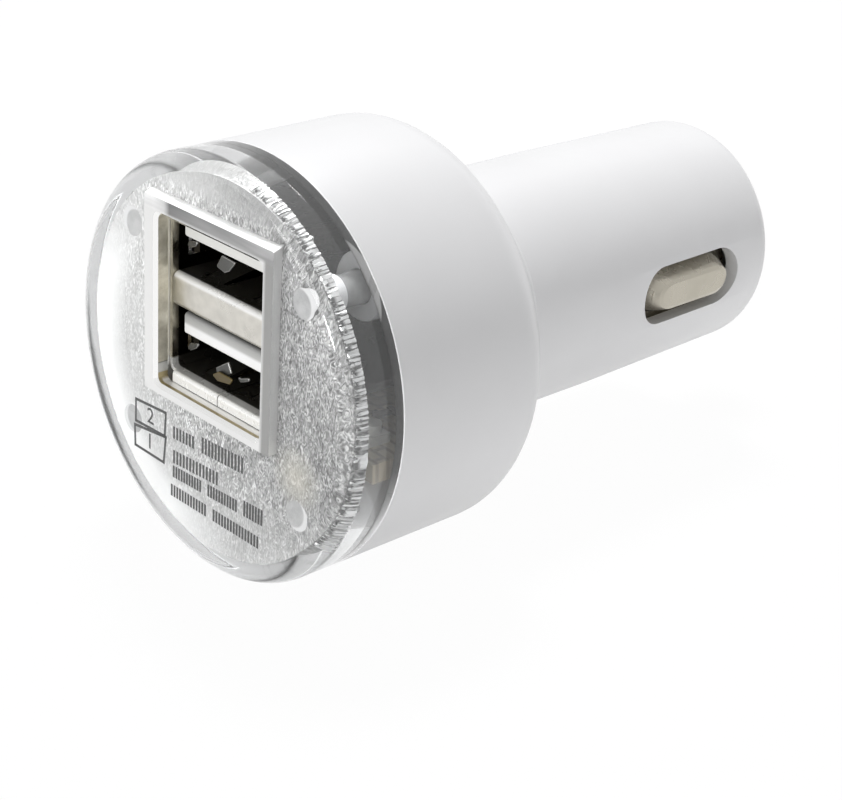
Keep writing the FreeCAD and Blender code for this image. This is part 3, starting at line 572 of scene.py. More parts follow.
def white_plastic():
    f = Finish("White housing plastic", 0.32, Coat_Weight=0.25, Coat_Roughness=0.12)
    tone = f.mottled(9 * MM, solid(0.78, 0.78, 0.79), colours().shell, 2.0)
    # Painted shade: the colour darkens where the surface turns away from the eye, toward the outline.
    rim = f.ramp(f.facing(0.5), [(0.55, solid(1.0)), (0.85, solid(0.9)), (1.0, solid(0.70, 0.70, 0.71))])
    f.feed(Base_Color=f.mix(1.0, tone, rim, "MULTIPLY"))
    return f.grain(1.4 * MM, 0.004 * MM).material


def inside_shade():
    """The inside of the head, seen through the clear rim, as painted shade: dark, with soft streaks along the
    axis, and painted light on its left and lower parts and on the end face round each pin.
    """
    f = Finish("Shaded inside", 0.6)
    dark = f.mottled(2.6 * MM, solid(0.04), solid(0.09), 3.0, 0.6, Vector=f.stretched(1.0, 0.25, 1.0))
    # Painted light on the left and lower parts; the rest stays painted shade.
    light = f.either(f.spread(f.axis("Z"), -8 * MM, -3 * MM, 1.0, 0.0),
                     f.spread(f.axis("X"), -8 * MM, 1 * MM, 1.0, 0.0))
    end = f.spread(f.normal_axis("Y"), -0.8, -0.95)
    # Painted light on the end face round each pin, where the bosses meet it.
    near_pin = f.spread(f.effect(pin_distance())["Distance"], 3.2 * MM, 3.4 * MM, 0.7, 0.0)
    light = f.either(light, f.product(near_pin, end))
    return f.feed(Base_Color=f.mix(light, dark, solid(0.92)), Metallic=f.product(light, end, 0.3)).material


def boss_plastic():
    f = Finish("Boss plastic", 0.4, Base_Color=solid(0.86, 0.86, 0.87))
    return f.grain(0.8 * MM, 0.006 * MM).material


def clear_plastic(name, milk=0.0):
    """Clear plastic that lets shadow rays pass, so what lies behind it is lit."""
    f = Finish(name, 0.03, IOR=1.49, Transmission_Weight=1.0 - milk)
    # Painted shade: the clear plastic turns greyer where its surface turns away from the eye.
    f.feed(Base_Color=f.ramp(f.facing(0.35), [(0.55, colours().clear), (1.0, solid(0.8, 0.8, 0.81))]))
    passing = f.node("ShaderNodeBsdfTransparent", Color=solid(0.95)).outputs[0]
    shadow = f.node("ShaderNodeLightPath").outputs["Is Shadow Ray"]
    return f.show(f.mix_shaders(shadow, f.shader.outputs[0], passing)).material


def pin_plastic():
    """Clear pins, painted grey for the dark inside seen through them, with a painted highlight, a thin bright
    arc, on their outer side.
    """
    f = Finish("Clear pin", 0.25, Coat_Weight=0.4, Coat_Roughness=0.1)
    cloud = f.mottled(0.9 * MM, solid(0.36), solid(0.44), 2.0, low=0.35)
    # Painted highlight: a bright arc on each pin's forward face, on its outer side.
    far = f.effect(pin_distance(), Out=-0.45 * MM, Up=-0.2 * MM)["Distance"]
    painted_arc_highlight = f.product(f.spread(far, 1.15 * MM, 1.3 * MM), f.spread(f.normal_axis("Y"), -0.8, -0.9))
    return f.feed(Base_Color=f.mix(painted_arc_highlight, cloud, solid(0.66))).material


def frame_plastic():
    """Frosted clear plastic, with painted light and shade by the way each face looks: white on its outer
    walls, greyer in front, where painted shade stands for the dark inside, darkest on the top border and the
    right side.
    """
    f = Finish("Frosted frame", 0.22, Coat_Weight=0.6, Coat_Roughness=0.05)
    ahead = f.normal_axis("Y")
    front = f.spread(ahead, -0.98, -0.9, 1.0, 0.0)
    bevelled = f.product(f.spread(ahead, -0.9, -0.85), f.spread(ahead, -0.5, -0.4, 1.0, 0.0))
    right = f.spread(f.normal_axis("X"), 0.7, 0.8, 0.0, 0.5)
    beside = f.spread(f.axis("X"), 6.5 * MM, 6.9 * MM)
    above = f.spread(f.axis("Z"), 11.0 * MM, 11.3 * MM)
    # Painted shade along the top border, pale only at its left end; the right border is painted dark too, the
    # left and lower ones paler grey.
    top_border_shade = f.ramp(f.axis("X"), [(0.0, solid(0.72)), (0.10, solid(0.55)), (0.15, solid(0.13)),
                                 (0.4, solid(0.21)), (1.0, solid(0.31))], -6.5 * MM, 6.5 * MM)
    wave = f.ramp(f.noise(2.5 * MM, place=f.stretched(0.3, 1.0, 3.0)),
                  [(0.35, solid(0.6)), (0.65, solid(1.3))])
    tone = f.mix(above, f.mix(beside, solid(0.66, 0.66, 0.655), solid(0.24, 0.24, 0.235)), top_border_shade)
    streaky = f.mix(f.product(above, 0.5), tone, f.mix(1.0, tone, wave, "MULTIPLY"))
    # Front faces take the painted shade; faces that look elsewhere are painted white, as lit walls.
    f.feed(Base_Color=f.mix(front, solid(0.95, 0.95, 0.94), streaky), Metallic=f.either(bevelled, right))
    return f.material


def mouth_lining():
    """The frame's opening, where the nickel behind tints it beige and the board tints the bottom tan."""
    f = Finish("Mouth lining", 0.4, 0.5)
    beige = f.mottled(1.1 * MM, solid(0.60, 0.56, 0.44), solid(0.95, 0.91, 0.78), 4.0, 0.65)
    tan = f.mottled(1.1 * MM, solid(0.34, 0.27, 0.13), solid(0.55, 0.47, 0.28), 4.0, 0.65)
    below = f.spread(f.normal_axis("Z"), 0.4, 0.8)
    low = f.ramp(f.axis("Z"), [(0.0, solid(0.45, 0.37, 0.20)), (0.45, solid(0.50, 0.42, 0.24)),
                               (0.5, solid(0.62, 0.62, 0.60)), (0.95, solid(0.70, 0.70, 0.68)),
                               (1.0, solid(0.25, 0.24, 0.20))], -3.1 * MM, -1.5 * MM)
    corner = f.spread(f.axis("Z"), -1.5 * MM, -1.45 * MM, 1.0, 0.0)
    # Painted highlight: further in, the bottom is painted near white, as if the port's bright lip reached
    # forward.
    inward = f.spread(f.axis("Y"), CREST_Y + 0.55 * MM, CREST_Y + 0.65 * MM)
    sill_highlight = f.mix(inward, tan, solid(0.95, 0.94, 0.92))
    return f.feed(Base_Color=f.mix(below, f.mix(corner, beige, low), sill_highlight)).material


def print_ink():
    f = Finish("Print ink", 0.5)
    ink = colours().print_ink
    return f.feed(Base_Color=f.mottled(0.5 * MM, darker(ink, 0.2), ink, 2.0)).material


def sparkling_plate():
    """Silver-grey plastic, crinkled all over, with painted light: pale on the left, with a white band near
    its edge there, and paler toward the bottom; painted shade darkens it toward the right.
    """
    f = Finish("Sparkling plate", 0.35, 0.2)
    pale = colours().plate
    crinkle = f.noise(0.42 * MM, 1.0, place=f.stretched(1.5, 1.0, 0.7), Distortion=2.0)
    raised = f.node("ShaderNodeBump", Height=crinkle, Distance=0.05 * MM, Strength=0.6).outputs["Normal"]
    # Painted light and shade: pale on the left, darker toward the right.
    wander = f.spread(f.noise(5 * MM), 0.3, 0.7, -1.5 * MM, 1.5 * MM)
    across = f.maths("ADD", f.maths("ADD", f.axis("X"), f.product(f.axis("Z"), 0.2)), wander)
    painted_falloff = ((0.0, 1.0), (0.35, 0.81), (0.7, 0.568), (1.0, 0.464))
    base = f.ramp(across, [(at, darker(pale, share)) for at, share in painted_falloff], -12 * MM, 10 * MM)
    # The crinkle's specks: painted glints on its high points, painted shade in its hollows.
    speck = f.ramp(crinkle, [(0.30, solid(0.32)), (0.44, solid(0.72)), (0.56, solid(1.15)),
                             (0.70, solid(2.1))])
    # Painted light: a white band near the plate's edge on the left.
    glow = f.product(f.spread(f.from_point(0.0, 0.0), 11.2 * MM, 13.4 * MM),
                     f.spread(f.axis("X"), -5 * MM, 3 * MM, 1.0, 0.0),
                     f.spread(f.axis("Z"), 4 * MM, 9 * MM, 1.0, 0.2))
    strength = f.product(f.spread(across, -12 * MM, -3 * MM, 0.15, 1.0),
                         f.spread(f.axis("Z"), 12.8 * MM, 13.8 * MM, 1.0, 0.2),
                         f.spread(f.axis("Z"), -12 * MM, -5 * MM, 0.4, 1.0))
    # Painted light: paler toward the bottom.
    base = f.mix(f.spread(f.axis("Z"), -5 * MM, -14 * MM, 0.0, 0.75), base, pale)
    tone = f.mix(strength, base, f.mix(1.0, base, speck, "MULTIPLY"))
    tint = f.spread(f.from_point(10.0, -4.9), 0.4 * MM, 2.8 * MM, 0.5, 0.0)
    tone = f.mix(tint, tone, solid(0.62, 0.59, 0.50))
    return f.feed(Base_Color=f.mix(glow, tone, solid(0.86, 0.86, 0.855)), Normal=raised).material


def ridge_plastic():
    """White, with small dark dashes along the front."""
    f = Finish("Ridged edge", 0.35, 0.8)
    dash = f.ramp(f.noise(0.38 * MM), [(0.46, solid(0.14)), (0.51, solid(0.97))])
    near = f.spread(f.axis("Y"), COVER_Y + 0.22 * MM, COVER_Y + 0.36 * MM, 0.95, 0.12)
    return f.feed(Base_Color=f.mix(near, solid(0.97), dash)).material


def nickel(name, colour, roughness, brushed="Y"):
    """Metal that is brushed along one axis."""
    f = Finish(name, roughness, 1.0, Base_Color=colour)
    lines = f.effect(brushed_lines(), Stretch={"X": (0.08, 1, 1), "Y": (1, 0.08, 1)}[brushed],
                     Smooth=roughness - 0.08, Dull=roughness + 0.12)
    return f.feed(Normal=lines["Normal"], Roughness=lines["Roughness"])


def port_nickel(name, colour, bright):
    """Nickel with tan sides and a painted highlight on its rolled edge, where faces look up, and on its lower
    lip; painted shade takes it dark where no light comes.
    """
    f = nickel(name, colour, 0.3, "X")
    # Painted highlight: faces that look up are bright.
    up = f.spread(f.normal_axis("Z"), 0.25, 0.55)
    face = f.mix(up, f.mottled(0.9 * MM, darker(colour, 0.86), colour), bright)
    side = f.spread(f.maths("ABSOLUTE", f.axis("X")), 6.1 * MM, 6.2 * MM)
    tan = f.mottled(1.1 * MM, solid(0.50, 0.46, 0.36), solid(0.80, 0.76, 0.64), 4.0, 0.65)
    # Painted highlight on the lower lip.
    lip = f.spread(f.axis("Z"), -1.5 * MM, -1.3 * MM, 1.0, 0.0)
    face = f.mix(lip, f.mix(side, face, tan), solid(0.95, 0.95, 0.93))
    # Painted shade: dark deeper in the port.
    dark = f.ramp(f.axis("Y"), [(0.0, solid(1.0)), (0.45, solid(0.9)), (0.6, solid(0.04, 0.038, 0.032))],
                  -23.1 * MM, -22.3 * MM)
    shine = f.spread(f.either(lip, up), 0.0, 1.0, 1.0, 0.35)
    return f.feed(Base_Color=f.mix(1.0, face, dark, "MULTIPLY"), Metallic=shine).material


def tongue_plastic():
    """White, with a painted highlight along the lower edge in front, painted grey shade on the lower tongue's
    upper front, the upper tongue painted darker, and painted shade dark down the port.
    """
    f = Finish("Tongue plastic", 0.4)
    height = f.maths("FLOORED_MODULO", f.axis("Z"), 8 * MM)
    # Painted highlight: a bright line along each tongue's lower edge in front.
    line = f.spread(height, 0.80 * MM, 0.88 * MM, 1.0, 0.0)
    # Painted shade: the upper part of the lower tongue's front is grey, in place of its shaded top face and
    # the shade under the divider; the upper tongue is painted darker than the lower.
    face = f.ramp(f.axis("Z"), [(0.0, colours().tongue), (0.10, solid(0.78)), (0.13, solid(0.42, 0.42, 0.41)),
                                (0.25, solid(0.22)), (0.4, solid(0.62, 0.62, 0.60))], 0.7 * MM, 9 * MM)
    # Painted shade: dark deeper down the port.
    shade = f.ramp(f.axis("Y"), [(0.0, solid(1.0)), (0.6, solid(0.2)), (1.0, solid(0.02))],
                   -22.3 * MM, -21.3 * MM)
    f.feed(Base_Color=f.mix(1.0, f.mix(line, face, solid(0.95)), shade, "MULTIPLY"))
    return f.grain(0.5 * MM, 0.004 * MM).material


def plain(name, colour, roughness, metallic=0.0):
    """A dull part, mottled and faintly uneven."""
    f = Finish(name, roughness, metallic)
    f.feed(Base_Color=f.mottled(1.2 * MM, darker(colour, 0.8), solid(*colour), low=0.35))
    return f.grain(0.3 * MM, 0.004 * MM).material


def board_laminate():
    """Bare tan board, divided by its tracks."""
    f = Finish("Board laminate", 0.35)
    tracks = f.node("ShaderNodeTexBrick", Vector=f.place(), Scale=1 / (4 * MM), Mortar_Size=0.04,
                    Color1=solid(0.33, 0.27, 0.17), Color2=solid(0.40, 0.33, 0.21),
                    Mortar=solid(0.22, 0.17, 0.10))
    return f.feed(Base_Color=tracks.outputs["Color"]).material


# Pieces

class CHARGER_OT_housing(Operator):
    """Turns the white housing, cuts its two side slots and adds the bosses for the pins"""

    bl_idname = "charger.housing"
    bl_label = "Housing"

    def execute(self, context):
        s = sizes()
        inner = head_inner()
        tip_hole, wall, end_wall = 3.38 * MM, 1.3 * MM, 1.8 * MM
        floor = s.shoulder - end_wall
        profile = rounded([
            (inner, SEAM_Y),
            (HEAD_RADIUS, SEAM_Y, 0.12 * MM),
            (HEAD_RADIUS, s.shoulder, s.back_round),
            (s.collar, s.shoulder, 0.25 * MM),
            (s.collar, 0, 0.5 * MM),
            (s.barrel, 0, 0.12 * MM),
            (s.barrel, s.land),
            (s.nose, NOSE_Y, s.nose_round),
            (tip_hole, NOSE_Y, 0.15 * MM),
            (tip_hole, NOSE_Y - end_wall),
            (s.nose - wall, NOSE_Y - end_wall),
            (s.barrel - wall, s.land),
            (s.barrel - wall, floor),
            (inner, floor),
        ])
        housing = turned("housing_shell", profile)
        slot_y = (CONTACT[0].y + CONTACT[1].y) / 2
        outline = [Vector((p.x + slot_y, p.y)) for p in pill(s.slot_length, s.slot_width)]
        for side in (1, -1):
            carve(housing, pulled("slot_tool", outline, "YZ", side * 8 * MM, side * 6 * MM))
        bevel(housing, self.at_slot, 0.18 * MM, 3)
        smooth(housing)
        dress(housing, white_plastic(), "charger", "white_housing", "housing")
        line_with(housing, inside_shade(), lambda face: face.center.y < s.shoulder - 1 * MM and (
            math.hypot(face.center.x, face.center.z) < inner + 0.05 * MM or face.normal.y < -0.9))
        self.bosses(floor)
        return {"FINISHED"}

    def at_slot(self, edge):
        """Whether an edge belongs to a slot's outer mouth."""
        middle = (edge.verts[0].co + edge.verts[1].co) / 2
        outer = math.hypot(middle.x, middle.z) > sizes().barrel - 0.6 * MM
        along = CONTACT[0].y - 1 * MM < middle.y < CONTACT[1].y + 1 * MM
        return outer and along and len(edge.link_faces) == 2 and edge.calc_face_angle(0) > math.radians(50)

    def bosses(self, floor):
        outer, hole = 2.5 * MM, sizes().pin + 0.05 * MM
        front = SEAM_Y + 0.5 * MM
        profile = rounded([
            (hole, floor), (outer, floor), (outer, front, 0.2 * MM), (hole, front, 0.1 * MM),
        ], 4)
        dress(at_each_pin("pin_bosses", profile), boss_plastic(), "charger", "white_housing")


class CHARGER_OT_cap(Operator):
    """Turns the clear cap, a thick cover that goes over into the rim, and opens it for the frame"""

    bl_idname = "charger.cap"
    bl_label = "Clear cap"

    def execute(self, context):
        inner = head_inner()
        front = CREST_Y + SKIN
        profile = rounded([
            (0, COVER_Y),
            (inner, COVER_Y),
            (inner, SEAM_Y),
            (HEAD_RADIUS, SEAM_Y, 0.12 * MM),
            (HEAD_RADIUS, front, sizes().rim_round),
            (0, front),
        ], 16)
        cap = turned("clear_cap_body", profile)
        opening = rectangle(*grown(FRAME_SIDES, -TOUCH))
        carve(cap, pulled("opening_tool", opening, "XZ", TOOL, CREST_Y - 1 * MM))
        smooth(cap, 30)
        dress(cap, clear_plastic("Clear plastic"), "charger", "clear_plastic", "clear_cap")
        line_with(cap, clear_plastic("Clear rim", 0.07), lambda face: face.normal.y > -0.97 and (
            math.hypot(face.center.x, face.center.z) > inner + 0.1 * MM))
        self.pins(sizes().pin)
        return {"FINISHED"}

    def pins(self, radius):
        """The four pins behind the cover, which go into the housing's bosses, each with its collar."""
        front, end = COVER_Y - LAP, SEAM_Y + 3.6 * MM
        profile = rounded([(0, front), (radius, front), (radius, end, 0.2 * MM), (0, end)], 3)
        dress(at_each_pin("cap_pins", profile), pin_plastic(), "charger", "clear_plastic")
        start, inner, outer = PLATE_BACK_Y + LAP, radius - LAP, 1.4 * MM
        end = start + 0.95 * MM
        ring = rounded([(inner, start), (outer, start), (outer, end, 0.2 * MM), (inner, end)], 4)
        dress(at_each_pin("pin_collars", ring), boss_plastic(), "charger", "clear_plastic")


class CHARGER_OT_frame(Operator):
    """Makes the frosted frame round the ports, with a bevelled mouth and a lined opening"""

    bl_idname = "charger.frame"
    bl_label = "Port frame"

    def execute(self, context):
        s = sizes()
        back = PLATE_BACK_Y + s.frame_stand
        piece = pulled("port_frame", rectangle(*FRAME_SIDES, 0.12 * MM, 3), "XZ", COVER_Y - CREST_Y, CREST_Y)
        edit(piece)
        self.lean(piece, COVER_Y, s.frame_draft)
        pick(piece, "FACE", lambda face: flat_at(face, 1, COVER_Y))
        extrude((0, back - COVER_Y, 0))
        self.lean(piece, back, -s.frame_draft)
        bpy.ops.object.mode_set(mode="OBJECT")
        mouth = rectangle(*MOUTH_SIDES, 0.5 * MM)
        carve(piece, pulled("mouth_tool", mouth, "XZ", TOOL, CREST_Y - 1 * MM))
        stack = rectangle(-6.6 * MM, 6.6 * MM, -3.7 * MM, 11.35 * MM)
        carve(piece, pulled("stack_tool", stack, "XZ", TOOL, CREST_Y + 1.2 * MM))
        bevel(piece, lambda edge: flat_at(edge, 1, CREST_Y) and all(self.in_mouth(v.co) for v in edge.verts),
              s.mouth_bevel, clamp=False)
        smooth(piece, 30)
        dress(piece, frame_plastic(), "charger", "clear_plastic")
        line_with(piece, mouth_lining(), lambda face: self.in_mouth(face.center) and (
            face.center.y > CREST_Y + s.mouth_bevel * 0.9))
        return {"FINISHED"}

    def in_mouth(self, point):
        left, right, low, high = grown(MOUTH_SIDES, TOUCH)
        return left < point.x < right and low < point.z < high

    def lean(self, piece, y, rise):
        """Moves the top edge at y up or down."""
        pick(piece, "VERT", lambda vert: abs(vert.co.y - y) < 1e-6 and vert.co.z > 11 * MM)
        bpy.ops.transform.translate(value=(0, 0, rise))


class CHARGER_OT_plate(Operator):
    """Makes the textured plate behind the cover, with the ridges on its edge"""

    bl_idname = "charger.plate"
    bl_label = "Textured plate"

    # Round the plate's edge, in degrees: a ridge's share, where the ridges start and end on the near side,
    # where they end on the far side, and where the wide lug stands
    PITCH = 1.25
    FIRST = -38.0
    LAST = 78.0
    FAR_LAST = 48.0
    WIDE = -6.0

    def execute(self, context):
        s = sizes()
        inner = head_inner()
        front, back, radius = COVER_Y - LAP, PLATE_BACK_Y, inner + 0.04 * MM
        profile = rounded([(0, front), (radius, front, 0.02 * MM), (radius, back), (0, back)], 2)
        plate = turned("sparkling_plate", profile)
        left, right, low, high = grown(FRAME_SIDES, -TOUCH)
        opening = rectangle(left, right, low, high + s.frame_draft)
        carve(plate, pulled("opening_tool", opening, "XZ", TOOL, CREST_Y))
        for x, z in PIN_PLACES:
            hole = [Vector((x + p.x, z + p.y)) for p in pill(s.pin * 2 - LAP, s.pin * 2 - 0.03 * MM)]
            carve(plate, pulled("hole_tool", hole, "XZ", TOOL, CREST_Y))
        smooth(plate)
        dress(plate, sparkling_plate(), "charger", "textured_silver", "textured_plate")
        self.ridges(inner, back)
        return {"FINISHED"}

    def ridges(self, radius, back):
        """One ridge, copied along the plate's sides and shaken a little, with a smooth lug at each pin."""
        front = COVER_Y + 0.08 * MM
        half = math.radians(self.PITCH) / 2 * radius
        low, high = radius - 0.05 * MM, radius + 0.1 * MM
        outline = [Vector(p) for p in ((-half * 0.98, low), (half * 0.98, low), (half * 0.6, high),
                                       (-half * 0.6, high))]
        ridge = pulled("plate_ridges", outline, "XZ", back - front, front)
        edit(ridge)
        bpy.ops.mesh.select_all(action="SELECT")
        bpy.ops.mesh.subdivide(number_cuts=1)
        bpy.ops.object.mode_set(mode="OBJECT")
        chance = random.Random(4)
        smooth_at = [math.degrees(math.atan2(z, x)) for x, z in PIN_PLACES if x > 0]
        made = []
        for n in range(int((self.LAST - self.FIRST) / self.PITCH) + 1):
            angle = self.FIRST + n * self.PITCH
            lug = any(abs(angle - at) < 4 for at in smooth_at) or n < 2
            wide = abs(angle - self.WIDE) < 3.5
            if wide and abs(angle - self.WIDE) > self.PITCH / 2:
                continue
            for turn in (angle, 180 - angle) if angle < self.FAR_LAST else (angle,):
                breadth = 4.6 if wide else 1.25 if lug else chance.uniform(0.62, 1.2)
                astray = 0 if wide or lug else chance.uniform(-0.22, 0.22) * self.PITCH
                made.append(self.copied(ridge, breadth, 90 - turn - astray))
        bpy.data.objects.remove(ridge)
        ridges = join("plate_ridges", made)
        edit(ridges)
        bpy.ops.mesh.select_all(action="SELECT")
        bpy.ops.transform.vertex_random(offset=0.045 * MM, uniform=1.0, seed=4)
        bpy.ops.mesh.normals_make_consistent(inside=False)
        bpy.ops.object.mode_set(mode="OBJECT")
        dress(ridges, ridge_plastic(), "charger", "textured_silver")

    def copied(self, ridge, breadth, turn):
        other = ridge.copy()
        other.data = ridge.data.copy()
        bpy.context.collection.objects.link(other)
        other.data.transform(Matrix.Scale(breadth, 4, (1, 0, 0)))
        other.data.transform(Matrix.Rotation(math.radians(turn), 4, "Y"))
        return other


class CHARGER_OT_print(Operator):
    """Prints two numbered boxes and four rows of small bars on the plate"""

    bl_idname = "charger.print"
    bl_label = "Print"

    # In millimetres, across the axis: each box's number and corners
    BOXES = (
        ("2", ((-9.83, -6.03), (-5.86, -5.77), (-5.99, -7.83), (-9.84, -7.94))),
        ("1", ((-9.98, -8.35), (-5.85, -7.87), (-6.11, -10.19), (-9.92, -10.13))),
    )
    # Each row: its start and end along its top, the height of its bars, and the bars of each group
    ROWS = (
        ((-4.97, -6.33), (3.95, -5.85), 1.12, (7, 13)),
        ((-4.96, -8.34), (0.91, -7.98), 1.25, (14,)),
        ((-4.95, -9.75), (6.35, -9.26), 1.1, (11, 11, 7)),
        ((-5.2, -11.46), (5.94, -11.39), 1.1, (13, 16)),
    )
    LINE = 0.24
    DEPTH = 0.02
    FRONT = COVER_Y - LAP - DEPTH * MM

    def execute(self, context):
        marks = []
        for number, corners in self.BOXES:
            for a, b in zip(corners, (*corners[1:], corners[0])):
                marks.append(self.stroke(Vector(a), Vector(b)))
            marks.append(self.digit(number, sum((Vector(c) for c in corners), Vector((0, 0))) / 4))
        for start, end, height, groups in self.ROWS:
            marks += self.row(Vector(start), Vector(end), height, groups)
        piece = join("plate_print", marks)
        smooth(piece, 20)
        dress(piece, print_ink(), "charger", "textured_silver")
        return {"FINISHED"}

    def stroke(self, a, b):
        """A straight line of ink from a to b."""
        along = (b - a).normalized() * self.LINE / 2
        across = Vector((-along.y, along.x))
        corners = [a - along - across, b + along - across, b + along + across, a - along + across]
        return pulled("stroke", [c * MM for c in corners], "XZ", self.DEPTH * 1.5 * MM, self.FRONT)

    def row(self, start, end, height, groups):
        """Small upright bars in groups, with a gap of two bars between groups."""
        places = sum(groups) + 2 * (len(groups) - 1)
        step = (end - start) / places
        bars, n = [], 0
        for group in groups:
            for k in range(group):
                top = start + step * (n + 0.5)
                short = 0.28 * height if (n * 7 + k * 3) % 5 < 2 else 0
                bars.append(self.stroke(top - Vector((0, short)), top - Vector((0, height))))
                n += 1
            n += 2
        return bars

    def digit(self, number, at):
        """A plain number, made a mesh before it is set in its box."""
        bpy.ops.object.select_all(action="DESELECT")
        bpy.ops.object.text_add(location=(0, 0, 0))
        text = bpy.context.object
        text.data.body = number
        text.data.align_x = "CENTER"
        text.data.align_y = "CENTER"
        text.data.size = 1.9 * MM
        text.data.offset = 0.01 * MM
        text.data.extrude = self.DEPTH * 0.75 * MM
        bpy.ops.object.convert(target="MESH")
        text.data.transform(Matrix.Rotation(math.radians(90), 4, "X"))
        text.data.transform(Matrix.Translation((at.x * MM, self.FRONT + self.DEPTH * 0.75 * MM, at.y * MM)))
        return text


class CHARGER_OT_side_contacts(Operator):
    """Presses the two side contacts"""

    bl_idname = "charger.side_contacts"
    bl_label = "Side contacts"

    # Each step of the crown: its share of the rise, and what it keeps of its length and width
    STEPS = ((0.75, 9.4 / 11.6, 3.0 / 4.3), (0.19, 0.95, 0.87), (0.06, 0.93, 0.76))

    def execute(self, context):
        metal = nickel("Contact nickel", solid(0.50, 0.47, 0.40), 0.26).material
        middle = (CONTACT[0].y + CONTACT[1].y) / 2
        inner, sheet = CONTACT[0].x, 0.4 * MM
        rise = CONTACT[1].x - inner - sheet
        for side, hand in ((1, "right"), (-1, "left")):
            flange = [Vector((p.x + middle, p.y)) for p in pill(13.4 * MM, 6.1 * MM)]
            cup = pulled(f"contact_cup_{hand}", flange, "YZ", side * sheet, side * inner)
            edit(cup)
            self.inset_at(cup, side * (inner + sheet), 0.9 * MM)
            for share, along, across in self.STEPS:
                extrude((side * rise * share, 0, 0))
                bpy.ops.transform.resize(value=(1, along, across), center_override=(0, middle, 0))
            self.inset_at(cup, side * inner, 1.9 * MM)
            extrude((side * (rise - 0.3 * MM), 0, 0))
            close_up(cup, 50)
            dress(cup, metal, f"{hand}_contact", "nickel_plate", f"side_contact_{hand}")
        return {"FINISHED"}

    def inset_at(self, piece, x, by):
        """Insets the flat face at x."""
        pick(piece, "FACE", lambda face: flat_at(face, 0, x))
        bpy.ops.mesh.inset(thickness=by)


class CHARGER_OT_tip(Operator):
    """Turns the sprung centre tip"""

    bl_idname = "charger.tip"
    bl_label = "Centre tip"

    def execute(self, context):
        back, end = TIP[0].y, TIP[1].y
        bore, bore_end, radius = 2.075 * MM, back + 5 * MM, 3.3 * MM
        flange, flange_end = TIP[1].x, back + 1.2 * MM
        profile = rounded([
            (0, bore_end), (bore, bore_end), (bore, back), (flange, back), (flange, flange_end, 0.15 * MM),
            (radius, flange_end), (radius, end, 1.5 * MM), (0, end),
        ])
        metal = nickel("Tip nickel", solid(0.78, 0.76, 0.72), 0.2, "X").material
        dress(turned("tip_cap", profile, steps=96), metal, "tip", "tip_nickel", "center_tip")
        return {"FINISHED"}


class CHARGER_OT_springs(Operator):
    """Copies the coil and the leaves in spring steel, in place of their CAD nodes"""

    bl_idname = "charger.springs"
    bl_label = "Springs"

    # Where along the charger a leaf leaves its foot and meets its contact
    LEAF_FOOT = 8.4 * MM
    LEAF_LAND = 17.4 * MM

    def execute(self, context):
        steel = nickel("Spring steel", solid(0.66, 0.67, 0.69), 0.25).material
        coil = self.copied("tip_spring", "tip_coil", steel)
        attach(coil, "charger")
        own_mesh(coil)
        for hand in ("right", "left"):
            leaf = self.copied(f"side_leaf_{hand}", f"bent_leaf_{hand}", steel)
            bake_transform(leaf)
        return {"FINISHED"}

    def copied(self, node, name, material):
        piece = frame["nodes"][node].copy()
        piece.data = piece.data.copy()
        piece.name = piece.data.name = name
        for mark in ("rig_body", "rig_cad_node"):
            del piece[mark]
        piece.parent = None
        bpy.context.collection.objects.link(piece)
        edit(piece)
        close_up(piece, 40)
        piece.data.materials.clear()
        piece.data.materials.append(material)
        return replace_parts(piece, node)


class CHARGER_OT_inner_parts(Operator):
    """Gives the receptacle, the board and its parts their materials"""

    bl_idname = "charger.inner_parts"
    bl_label = "Inner parts"

    def execute(self, context):
        gold = nickel("Gold contact", solid(0.80, 0.60, 0.28), 0.25).material
        looks = {
            "usb_shell": port_nickel("Port nickel", colours().nickel, solid(0.95, 0.94, 0.92)),
            "usb_divider": port_nickel("Divider nickel", solid(0.68, 0.66, 0.61), solid(0.98, 0.98, 0.97)),
            "usb_insulator": tongue_plastic(),
            "circuit_board": board_laminate(),
            "converter_chip": plain("Chip epoxy", (0.03, 0.03, 0.032), 0.5),
            "inductor_core": plain("Ferrite", (0.06, 0.06, 0.065), 0.55),
            "inductor_winding": plain("Copper wire", (0.55, 0.22, 0.08), 0.3, 0.9),
            "output_capacitor": plain("Capacitor can", (0.7, 0.7, 0.71), 0.25, 0.9),
            "input_capacitor": plain("Capacitor sleeve", (0.12, 0.12, 0.13), 0.35),
            "input_fuse": plain("Fuse ceramic", (0.75, 0.72, 0.62), 0.45),
            "rectifier_diode": plain("Diode epoxy", (0.035, 0.035, 0.04), 0.5),
            "chip_resistors": plain("Resistor glaze", (0.04, 0.04, 0.045), 0.4),
            "chip_capacitors": plain("Capacitor ceramic", (0.45, 0.33, 0.2), 0.45),
            "indicator_led": plain("Lamp epoxy", (0.85, 0.85, 0.8), 0.2),
            "spring_terminal": nickel("Terminal nickel", solid(0.7, 0.68, 0.64), 0.3, "X").material,
        }
        looks |= {f"usb_contact_{row}_{n}": gold for row in ("lower", "upper") for n in range(1, 5)}
        for name, material in looks.items():
            node = frame["nodes"][name]
            if not node.material_slots:
                node.data.materials.append(material)
            for place in node.material_slots:
                place.material = material
        return {"FINISHED"}


